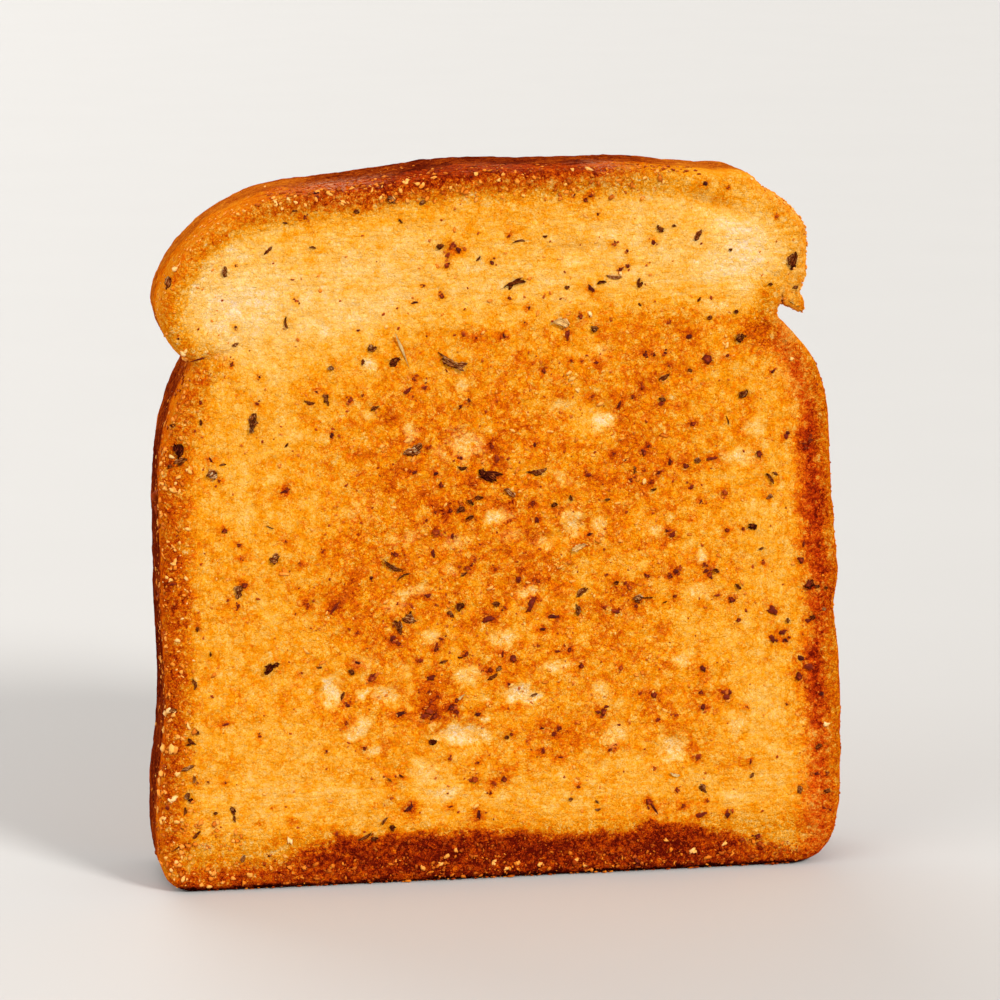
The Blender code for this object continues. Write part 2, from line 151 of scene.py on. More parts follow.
# x, z, half length, half width, turn in degrees, change in browning
BROWNED = [
    (0, 66, 27, 20, 0, 0.1), (0, 27, 34, 12, 0, 0.02), (13, 33, 3, 3, 0, 0.08), (6, 27, 3, 2, 0, 0.07),
    (-20.6, 29.5, 2, 4, 0, 0.08), (-13, 51.7, 3, 2, 0, 0.05), (40, 79, 3, 4, 0, 0.06),
    (43.6, 66, 3, 3, 0, 0.05), (-44.5, 33.5, 4, 4, 0, 0.06), (-18, 60.5, 3, 4, 0, 0.1),
    (-17.5, 36, 3, 3, 0, 0.06), (15, 103, 5, 5, 0, 0.05), (28.9, 75.9, 1.4, 1.2, 0, 0.06),
    (17.5, 81.5, 1.2, 1, 0, 0.1), (-18, 76, 3, 3, 0, 0.06), (2, 77, 3, 4, 0, 0.05),
    (-47, 74, 5, 6, 0, 0.04), (-47, 23, 4, 4, 0, 0.04), (-28, 52, 4, 3, 0, 0.05),
    (-15, 24.7, 2, 2, 0, 0.06), (28.3, 16, 2, 2, 0, 0.08), (-18.5, 16, 2, 2, 0, 0.07),
    (-14, 53, 3, 2, 0, 0.07), (-21.5, 54, 2.5, 4, 0, 0.07), (-5, 63.3, 2, 2, 0, 0.07),
    (24, 47, 2, 2, 0, 0.06), (24.7, 84, 2.4, 2.4, 0, 0.06), (-2, 90, 15, 5, 0, 0.07),
    (22, 86, 9, 9, 0, 0.12), (31, 92, 8, 4, 0, 0.08), (22, 70, 6, 8, 0, 0.11), (-14, 70, 13, 12, 0, 0.08),
    (-26, 48, 7, 8, 0, 0.11), (-2, 52, 9, 6, 0, 0.08), (10, 50, 14, 5, 10, 0.05), (20, 46, 8, 5, 0, 0.08),
    (-12.2, 31, 2.8, 4.2, 0, 0.17), (-9, 29.4, 3.4, 1.5, 0, 0.1), (10, 24, 7, 3.5, 10, 0.12),
    (26, 28, 5, 4, 0, 0.08), (0, 37.5, 9, 2, 10, 0.08), (41.8, 91.4, 3.4, 2.4, 0, 0.3),
    (44.5, 89.5, 3, 3, -40, 0.12), (32, 23.5, 3.6, 3.6, 0, 0.08), (39.5, 18, 5, 3, 0, 0.09),
    (-17.5, 18.3, 3, 2, 0, 0.1), (-16.3, 13, 1.8, 1.8, 0, 0.16), (-1.4, 17, 2.4, 1.6, 0, 0.14),
    (-4.7, 11.4, 0.9, 1.6, 0, 0.16), (-45, 86, 3.6, 3, 20, 0.12), (43.6, 97, 2.2, 3, 0, 0.14),
    (-28.4, 47.3, 2.2, 0.7, 50, 0.14), (35, 30.5, 3, 2.4, 0, 0.12), (24, 38, 5, 4, 0, 0.06),
    (-1, 71, 2, 3, 0, 0.14), (-7, 66, 6, 3, 20, 0.05), (9, 72, 2.4, 2.4, 0, 0.1),
    # The patch at x 33.4, z 113.9 browns the down-facing upper wall of the crown's right hollow: painted
    # warm shade
    (33.4, 113.9, 4.8, 1.2, -14, 0.1), (-19, 42, 3, 3, 0, 0.12), (-3, 44.6, 3, 1.6, 0, 0.12),
    (17, 44, 5, 3, 0, 0.08), (-41.1, 11.4, 0.8, 0.8, 0, 0.2), (-35.6, 11.4, 0.8, 0.7, 0, 0.2),
    (-38.8, 14, 0.7, 0.4, 40, 0.24),
]
PALE = [
    (-45, 99, 9, 9, 0, -0.17), (-20, 101, 24, 10, 0, -0.18), (41, 103, 8, 7, 0, -0.2),
    (20, 105, 16, 7, 0, -0.15), (-30, 94, 12, 6, 0, -0.07), (4, 98, 9, 5, 0, -0.06),
    (30, 114.5, 12, 3, -12, -0.06), (36, 109.2, 6, 1.4, -17, -0.14), (22, 112.5, 7, 1.6, 0, -0.1),
    (38, 105, 9, 6, 0, -0.06), (0, 15.5, 46, 3.5, 0, -0.1), (44, 58, 5, 18, 0, -0.08),
    (43, 22, 6, 14, 0, -0.1), (-44, 74, 6, 22, 0, -0.08), (-42, 24, 9, 16, 0, -0.09),
    (14, 76.6, 4, 3, 20, -0.14), (-12, 18, 4, 3.5, 0, -0.09), (-36, 84, 14, 5, 0, -0.04),
    (-37, 68, 3, 9, 0, -0.07), (47.5, 87, 3, 4, 0, -0.12), (19, 55, 2, 3, 0, -0.08),
    (21, 25, 2, 3, 0, -0.08), (-27, 23, 3, 3, 0, -0.05), (-54, 102, 5, 8, -20, -0.1),
    (-9, 73, 3, 2.4, 0, -0.1), (17, 85, 4, 6, 0, -0.07), (16, 52, 3, 4, 0, -0.06),
    (-36, 47, 4, 3, 0, -0.05), (-54, 103, 4, 8, -20, -0.08), (40, 113, 6, 3, -35, -0.06),
    (37, 12, 3, 2, 0, -0.08), (47, 96, 2.5, 3, 0, -0.02), (12.5, 79, 2, 3, 0, -0.05),
    (-30, 16, 6, 1.4, 0, -0.08), (-34, 75.5, 3.4, 2.2, 0, -0.12), (23, 100, 10, 5, 0, -0.06),
    (-40, 90, 5, 5, 0, -0.06), (-12.5, 67, 4.5, 2.6, 20, -0.16), (9.3, 71.5, 2.4, 3, 0, -0.16),
    (14.5, 49.8, 3, 2, 0, -0.14), (31, 43, 2.4, 7, 0, -0.12), (12, 88.5, 4, 3, 0, -0.09),
    (36, 87, 4, 4, 0, -0.08), (-26, 64.5, 3, 3, 0, -0.1), (-27, 39.5, 3, 2.4, 0, -0.1),
    (18, 19.5, 8, 2, 0, -0.08), (36, 25, 2.4, 3, 0, -0.08),
]
# Pale bubbles with clear edges, written as the patches are
BUBBLES = [
    (-28.7, 33, 1.9, 2.6, 0, -0.26), (-23.7, 32.8, 1.3, 0.8, 20, -0.24), (-19.9, 32.5, 2, 1.6, 0, -0.22),
    (-24.4, 27.1, 2.4, 1.6, 30, -0.24), (-21.9, 23, 1.3, 1, 0, -0.24), (-7.4, 25.3, 4.8, 1.8, -3, -0.26),
    (2.4, 31.6, 3.2, 1.9, -3, -0.3), (-6.2, 35.5, 2.6, 1.7, 10, -0.2), (-0.4, 41.3, 2.6, 1.6, 10, -0.2),
    (-17, 36.2, 1.9, 1.1, 0, -0.06), (-23.3, 38.2, 2.2, 1.4, 0, -0.1), (-3.3, 31, 0.9, 0.6, 0, -0.2),
    (-3.5, 27.5, 1.4, 0.6, 0, -0.2), (-13.3, 19.4, 2.6, 2, 0, -0.1), (-10.5, 15.3, 3, 1.2, 0, -0.1),
    (-18.5, 47.2, 2.3, 1.2, 0, -0.14), (-6.6, 73.8, 3.4, 2.5, 0, -0.24), (-10.6, 73, 1.6, 1.3, 0, -0.12),
    (-15.5, 76.1, 1.2, 1.3, 0, -0.22), (-7.1, 84, 1.2, 1.6, 0, -0.22), (-22.3, 87.2, 1.5, 1.3, 0, -0.2),
    (9, 79.7, 1.6, 1.4, 0, -0.12), (-22.5, 79, 1, 0.8, 0, -0.14), (-18.5, 58.4, 0.9, 1, 0, -0.12),
    (-15.7, 58.6, 1.4, 1.1, 0, -0.12), (-1.2, 61.8, 2.6, 1.2, 15, -0.22), (11.4, 60.4, 1.9, 2.3, 0, -0.24),
    (15.6, 59.5, 1.4, 1.6, 0, -0.22), (1.1, 58.8, 2, 1.4, 0, -0.1), (-24.4, 63.4, 2.4, 1.6, 0, -0.12),
    (9.3, 67.9, 1.6, 1.4, 0, -0.14), (16.2, 77.2, 2.2, 1.7, 15, -0.24), (41.8, 75.4, 2, 2, 0, -0.12),
    (37.3, 70.4, 1.5, 1.2, 0, -0.12), (40.5, 70.4, 1.8, 1.8, 0, -0.14), (15.5, 88.8, 1.5, 1, 0, -0.14),
    (34.5, 95.4, 3, 1.5, 0, -0.12), (6.3, 57, 1.6, 1.2, 0, -0.18), (-8, 57.6, 2.6, 1.2, 15, -0.16),
    (3.6, 49, 2.2, 1, 20, -0.22), (-15.5, 49.6, 3.2, 0.9, 10, -0.2), (-9.2, 53, 1.3, 0.9, 0, -0.18),
    (-12.5, 42, 2, 1.2, 0, -0.16), (32.6, 48, 2.2, 1.4, 0, -0.14), (39, 25.5, 1.4, 2.6, 0, -0.12),
    (30, 36.5, 2.4, 1.3, 0, -0.16), (33, 54, 0.9, 1.5, 0, -0.26), (25, 58.5, 1.6, 1, 0, -0.18),
    (8.5, 36, 3, 1.1, 5, -0.2), (16, 31.5, 2.4, 1.8, -25, -0.14), (18.5, 24, 2.2, 2.2, 0, -0.18),
    (28.5, 21.5, 2.5, 2.6, 0, -0.22),
]
# The browned ring round a burnt speck: its browning, its limit, its reach and how fried it looks
HALO = 0.18
HALO_LIMIT = 0.3
DOT_HALO_REACH = 0.4
LONG_HALO_REACH = 0.5
HALO_FRYING = 1.6

# The dark band along the bottom crust: x, its upper edge's height, its browning
BOTTOM_BAND = [
    (-57, 4.2, 0.48), (-46, 4.8, 0.54), (-37, 5.2, 0.64), (-33, 7.1, 0.73), (-28, 8.8, 0.81),
    (-10, 8.9, 0.88), (0, 8.7, 0.89), (6, 7.9, 0.89), (13, 7.5, 0.82), (20, 7.9, 0.85), (26, 9.2, 0.87),
    (31, 7.9, 0.88), (37, 7, 0.8), (41, 5.6, 0.66), (46, 4.3, 0.54), (57, 3.2, 0.5),
]
BOTTOM_EDGE_BELOW = 1.6
BOTTOM_EDGE_ABOVE = 0.7
# The lighter strip below it: its height, its browning and how much of that shows
FOOT_STRIP = (2.0, 4.0)
FOOT_BROWNING = 0.76
FOOT_SHARE = 0.35
# The brown band along the left crust: z, its width, its browning
LEFT_BAND = [
    (4, 6, 0.47), (14, 5.6, 0.51), (30, 5.4, 0.58), (45, 6.2, 0.6), (60, 7, 0.53), (72, 6.4, 0.51),
    (80, 6, 0.45), (86, 4.4, 0.4), (89, 1.6, 0.37), (94, 1.4, 0.34), (102, 2.2, 0.35), (107, 3.6, 0.39),
]
LEFT_BAND_END = -30
# The streak along the right crust: z, its x, its half width, its browning
RIGHT_STREAK = [
    (8, 53.8, 3.2, 0.46), (16, 53.6, 2.6, 0.5), (24, 53.4, 2, 0.6), (30, 52.9, 2.2, 0.72),
    (37, 52.3, 2, 0.78), (41, 53.3, 1.8, 0.58), (46, 53.2, 2.2, 0.55), (50, 53, 2.2, 0.66),
    (56, 52.2, 2.4, 0.7), (64, 51.8, 2.4, 0.74), (73, 51, 2, 0.74), (79, 50.4, 2, 0.56),
    (85, 48.8, 2.6, 0.42), (89, 46.6, 2.6, 0.4),
]
STREAK_TOP = 95
# The browning of the crumb from the streak out
RIGHT_EDGE = 0.43
RIGHT_EDGE_START = 30
RIGHT_EDGE_TOP = 90
# The rough band under the crown: x, how far it reaches below the top crust, its browning
CROWN_BAND = [
    (-50, 3.8, 0.34), (-44, 3.6, 0.36), (-38, 3.4, 0.4), (-33, 3.6, 0.46), (-25, 3.6, 0.52),
    (-12, 3.4, 0.54), (0, 3.2, 0.5), (12, 3, 0.46), (20, 2.4, 0.35), (28, 1.6, 0.26), (36, 1, 0.22),
    (46, 0.8, 0.2),
]
CROWN_BAND_FOOT = 90
# The paler rim at the crown's right: its browning, how much of that shows, its width, and where it sets in
PALE_RIM = 0.26
PALE_RIM_SHARE = 0.7
PALE_RIM_WIDTH = (0.4, 2.6)
PALE_RIM_X = (34, 44)
PALE_RIM_Z = (84, 92)
# How fried the bands look, and the x where that sets in and ends under the crown
BOTTOM_FRYING = 0.5
SIDE_FRYING = 0.35
CROWN_FRYING = 0.7
CROWN_FRIED_FROM = (-42, -30)
CROWN_FRIED_TO = (14, 26)

# Browning of the back face: a patch in the middle, seeded blobs, and a rim, browner at the foot
BACK_CENTRE = (0, 58, 40, 38, 0, 0.14)
BACK_BLOBS = 60
BACK_BLOB_RANGES = ((-44, 44), (12, 104), (3, 9), (2, 6), (0, 180), (-0.16, 0.16))
BACK_MOTTLE_STRENGTH = 0.13
BACK_RIM = 0.62
BACK_FOOT = (0, 0, 44, 14, 0, 0.25)

# The crust's browning round the slice: base value, then patches as for the face
CRUST_BROWNING = 0.62
CRUST_PATCHES = [
    # The patch at x -57 darkens the left side's crust: partly its brown crust, partly painted shade of a
    # side turned from the light
    (-6, 119, 30, 6, 0, 0.12), (-57, 44, 10, 54, 0, 0.16), (0, 0, 60, 6, 0, 0.26),
    # The patch at x -54, z 100 pales the crown's left: partly golden crumb there, partly painted light on a
    # side turned from the sun
    (-54, 100, 8, 9, 0, -0.3), (-40, 112.5, 12, 4, 20, -0.22), (40, 112, 16, 9, -30, -0.26),
    (50, 100, 6, 10, 0, -0.26), (46.5, 96, 4, 4, 0, -0.3), (56, 60, 8, 34, 0, -0.1),
    (56, 12, 8, 10, 0, -0.14),
]
# How deep behind the front face the browned crumb turns into the baked crust, and where that differs
CRUST_DEPTH = 11.0
CRUST_DEPTH_BACK = 2.5
CRUST_DEPTHS = [
    # At x -57 the dark crust starts nearer the face, partly as painted shade; at x -52, z 102 deeper,
    # partly as painted light
    (-6, 118, 26, 6, 0, -1), (0, 0, 60, 5, 0, -4), (-57, 45, 8, 46, 0, -4), (-52, 102, 8, 10, 0, 8),
    (58, 78, 8, 9, 0, 4.5), (58, 57, 8, 9, 0, -4), (58, 35, 8, 9, 0, 4), (58, 14, 8, 8, 0, -3),
]
# Over how much depth it turns, and where that is more
CRUST_BLUR = 6.0
CRUST_BLURS = [(57, 50, 10, 60, 0, 6), (48, 108, 8, 10, 0, 4)]
# Where the crust just behind the face is scorched, written as the patches are
SCORCHED = [(-12, 118.5, 22, 6, 3, 0.27), (12, 119, 12, 5, 0, 0.16), (57.5, 46, 6, 40, 0, 0.11)]
# Where butter lies glossy on the crust, written as the patches are
# There the crust gets a real coat of gloss and a painted sheen: a pale pinkish highlight colour mixed in
# along wrinkles
BUTTER_AND_PAINTED_SHEEN = [(-27, 116.4, 6.5, 2.4, 8, 1.1), (17, 118.5, 3.4, 1.2, 0, 0.8), (-2, 118.5, 7, 1, 0, 0.25)]

# Where the crumb is streaked upright, at the sides, and level, at the crown and the foot: distances from
# the middle, heights and distances from the rim. Each pair is where it sets in and where it is whole.
UPRIGHT_OUTWARD = (34, 48)
UPRIGHT_FOOT = (12, 26)
UPRIGHT_TOP = (84, 92)
LEVEL_FOOT = (16, 26)
LEVEL_TOP = (88, 100)
STREAKS_INWARD = (0.5, 3.0)
# Where the rim is rough, written alike: more so along the crown, and less at its right
ROUGH_INWARD = (2.0, 6.0)
ROUGH_FOOT = (7, 11)
ROUGHER = 0.9
ROUGHER_TOP = (100, 112)
ROUGHER_FROM = (-44, -34)
ROUGHER_TO = (18, 30)
SMOOTHER = 0.55
SMOOTHER_TOP = (94, 102)
SMOOTHER_FROM = (26, 36)

# Herb leaves on the face: x, z, length, width, turn in degrees, shade from 0, black, to 1, straw
LEAVES = [
    (-39.3, 37.6, 2, 1.6, 60, 0.15), (-38, 38.2, 1.2, 0.8, 20, 0.2), (-51.6, 35.5, 2, 0.5, 100, 0.3),
    (-54.9, 31.3, 1.3, 0.6, 10, 0.45), (-51.1, 27.5, 0.9, 0.6, -70, 0.3), (-52, 26, 1.7, 0.6, -40, 0.25),
    (-52.6, 25.4, 0.8, 0.4, 0, 0.35), (-52.7, 21.7, 2.6, 0.8, 5, 0.5), (-51.8, 19.5, 1.2, 0.5, 90, 0.5),
    (-53, 16.8, 1.2, 0.8, 90, 0.45), (-52.4, 16, 0.9, 0.7, 0, 0.15), (-53.4, 14.1, 1.4, 0.5, 80, 0.3),
    (-48.3, 13.6, 0.7, 0.5, 0, 0.25), (-45.5, 13.9, 1.6, 0.7, -70, 0.3), (-45.2, 12.5, 1.2, 0.4, -80, 0.3),
    (-51.5, 10.1, 1.8, 0.5, 45, 0.3), (-53.5, 8.1, 4.2, 0.2, 17, 0.3), (-43.9, 5.6, 1.3, 0.7, 80, 0.45),
    (-24, 8.5, 3.2, 0.4, 25, 0.25), (-22, 8, 1, 0.7, 0, 0.3), (-27.1, 32.3, 1.6, 0.4, 70, 0.3),
    (-31, 37.5, 0.9, 0.3, 0, 0.3), (-20.3, 11, 1.6, 0.4, 55, 0.5), (-25.8, 36.4, 1.1, 0.9, -30, 0.25),
    (-12.3, 24.3, 1.4, 1.1, 30, 0.1), (-10.4, 37.7, 1.4, 0.4, 15, 0.3), (-7.6, 38.3, 1, 0.3, 0, 0.3),
    (-2.3, 34.8, 2, 0.6, 30, 0.25), (-1.3, 36.3, 1.3, 0.9, 40, 0.25), (4.7, 31.5, 1.2, 0.5, 20, 0.5),
    (0.1, 24.5, 0.8, 0.7, 0, 0.25), (-17.5, 18.6, 0.9, 0.3, -30, 0.3), (-19.5, 18, 0.9, 0.3, -40, 0.3),
    (-19, 9.8, 1.2, 0.7, -60, 0.2), (10.9, 13.4, 0.7, 0.6, 0, 0.45), (15.3, 12.7, 0.8, 0.3, -45, 0.3),
    (15.5, 11.5, 1, 0.4, 0, 0.5), (41.7, 16.1, 1.1, 0.5, 60, 0.45), (33.6, 14.2, 1.6, 1, -35, 0.35),
    (49.9, 13.2, 1.5, 0.9, 90, 0.3), (54.8, 12.9, 1.1, 0.8, 0, 0.3), (53.2, 20.6, 1.3, 0.8, 40, 0.3),
    (-41.3, 79, 2, 1.5, 60, 0.45), (-41.5, 77.6, 1.9, 1, 45, 0.4), (-49.8, 78.7, 1, 0.5, 90, 0.3),
    (-54.2, 78.3, 1, 0.5, 0, 0.3), (-53.6, 74.2, 2.6, 1.2, 75, 0), (-53, 72.3, 2.4, 0.8, 35, 0.45),
    (-54.8, 71.6, 0.8, 0.7, 0, 0.3), (-46.3, 71.6, 1.2, 0.3, 10, 0.45), (-48.1, 70.2, 1.8, 1.4, 0, 0.5),
    (-38.1, 56, 1.8, 1.2, 35, 0.3), (-44.1, 50.6, 2.3, 1.1, 80, 0.4), (-36, 74.6, 0.9, 0.3, 50, 0.3),
    (-38.8, 61.2, 1.3, 0.2, -25, 0.5), (-50.8, 44.6, 0.9, 0.5, 90, 0.3), (-48.8, 40.4, 0.8, 0.3, 90, 0.3),
    (-15.5, 72.8, 3, 1.3, 10, 0.5), (-14.6, 73.7, 1.6, 0.9, 20, 0.5), (-7.3, 70.2, 1.5, 0.7, -15, 0.15),
    (-2.7, 68.6, 4.2, 1.4, -15, 0.05), (-3.6, 69, 1.8, 1.4, 20, 0), (5, 69.3, 3.4, 0.9, -5, 0.3),
    (0.6, 65.7, 2.2, 0.9, -50, 0.45), (-4.5, 65, 1.4, 0.6, 0, 0.3), (-6, 64.2, 1.4, 0.6, -35, 0.3),
    (-7.4, 62.9, 1.4, 1, 35, 0.25), (-6.1, 61.8, 1.4, 0.6, 20, 0.35), (-18.6, 54.2, 4.2, 0.9, -20, 0.35),
    (-17, 52.2, 2.5, 0.3, 30, 0.35), (-7, 52.3, 1.2, 0.4, 30, 0.3), (-1.6, 47.1, 1.3, 0.8, 15, 0.3),
    (-7.7, 46.8, 1.5, 1, 90, 0.2), (-9.2, 45.5, 1.4, 0.8, -60, 0.25), (-16, 45.9, 1, 0.7, 90, 0.3),
    (-16.2, 44.8, 2.3, 1.4, -25, 0.5), (-17.9, 43.7, 2.5, 1.1, 90, 0.4), (8, 63.3, 1, 0.9, 0, 0.3),
    (10.8, 64.5, 1.1, 0.5, -70, 0.3), (16.8, 64.1, 0.8, 0.5, 0, 0.5), (12.5, 48.3, 3, 0.7, 35, 0.4),
    (11.9, 45.6, 2, 0.9, -80, 0.4), (18.4, 50.1, 0.8, 0.7, 0, 0.3), (36.8, 76.7, 1.6, 0.2, -70, 0.3),
    (31.9, 70.2, 1.1, 0.8, 0, 0.4), (44.1, 66.7, 2.2, 0.5, -55, 0.3), (45, 67.5, 1, 0.5, -30, 0.3),
    (44.1, 63.7, 1.1, 0.7, 0, 0.45), (41.2, 58.8, 1.6, 1, 20, 0.05), (42.8, 55, 0.9, 0.4, 20, 0.3),
    (35.2, 51.5, 1, 0.6, -40, 0.3), (39, 48.6, 1.3, 0.6, -45, 0.3), (21.3, 68.8, 1.3, 0.4, 90, 0.3),
    (24.6, 65.5, 1, 0.4, 15, 0.3), (21.9, 47.3, 1.5, 1.3, 0, 0.5), (23.7, 47.3, 1.8, 0.2, 0, 0.3),
    (26.6, 46.4, 0.8, 0.2, 20, 0.3), (47.5, 42.5, 0.9, 0.5, 90, 0.45), (51.8, 43, 0.9, 0.7, 0, 0.3),
    (53.8, 44.2, 0.8, 0.6, 0, 0.5), (51.2, 48.4, 1.8, 1.4, 0, 0.05), (52.6, 48.2, 0.8, 0.6, 0, 0.2),
    (54, 47.9, 0.6, 0.5, 0, 0.3), (-45.6, 103, 1.8, 0.8, 75, 0.4), (-54.8, 101.2, 2, 1.2, 75, 0.35),
    (-38.6, 106.2, 1.7, 0.5, 45, 0.3), (-31.4, 106.5, 1.1, 0.3, -10, 0.3), (-34.2, 112.5, 1, 0.3, 0, 0.3),
    (-35.8, 110.6, 0.8, 0.3, 0, 0.3), (-24.3, 112.1, 1, 0.9, 0, 0.25), (-35.7, 94.6, 2, 0.4, 95, 0.3),
    (-44, 91.2, 1.1, 0.5, 30, 0.45), (-28.7, 87, 1, 0.8, 0, 0.5), (-21.9, 90.1, 1.5, 1, 0, 0.45),
    (-23.5, 87.8, 1.1, 0.5, 80, 0.3), (-32.2, 81.6, 1.8, 0.5, -15, 0.25), (-29.5, 81.8, 2.1, 0.8, 95, 0.4),
    (-21.6, 80.2, 1.4, 0.6, 25, 0.3), (-18.7, 114, 1.6, 0.8, -50, 0.5), (-17.2, 110.6, 0.9, 0.3, -50, 0.3),
    (-13.7, 113.6, 1, 0.8, 0, 0.4), (-10.8, 106.4, 1.2, 0.9, 0, 0.35), (-4.6, 104.3, 1, 0.3, 50, 0.3),
    (1.4, 99.8, 3.8, 0.9, 27, 0.2), (6.3, 107.7, 0.8, 0.4, 0, 0.3), (2.3, 106.7, 3, 0.3, 0, 0.4),
    (10, 99.3, 0.8, 0.6, 0, 0.3), (15.7, 99.9, 1.5, 0.5, 10, 0.05), (17.7, 100.9, 2.6, 0.5, -5, 0.6),
    (14.6, 92.4, 1.3, 1, 0, 0.4), (-18.3, 87.9, 2, 1.2, 40, 0.2), (-9, 87.7, 5.2, 1.3, -22, 0.5),
    (25.2, 108.5, 1.5, 0.8, -40, 0.3), (27.6, 108.9, 0.8, 0.4, 0, 0.3), (31.8, 107.3, 1.9, 0.9, 70, 0.4),
    (37, 104.9, 0.6, 0.5, 0, 0.3), (47.3, 103.2, 2.6, 1.3, 80, 0.28), (47.6, 101.7, 1.2, 0.6, 30, 0.1),
    (21.9, 99.8, 1.6, 0.7, 80, 0.4), (22, 96.2, 0.7, 0.4, -45, 0.3), (31.9, 96.8, 0.9, 0.4, 55, 0.3),
    (43.8, 99, 0.8, 0.4, 0, 0.3), (48, 98.2, 1, 0.7, 0, 0.3), (38.1, 94.6, 0.8, 0.6, 0, 0.3),
    (33.7, 93.7, 0.8, 0.7, 0, 0.45), (39, 90.6, 1.8, 1.5, 0, 0.3), (26.3, 84, 2, 0.8, 25, 0.3),
    (39.4, 81, 1.9, 1, 45, 0.3), (30.5, 85.1, 0.8, 0.5, -35, 0.3), (25.9, 80.2, 1.2, 0.9, 0, 0.3),
]

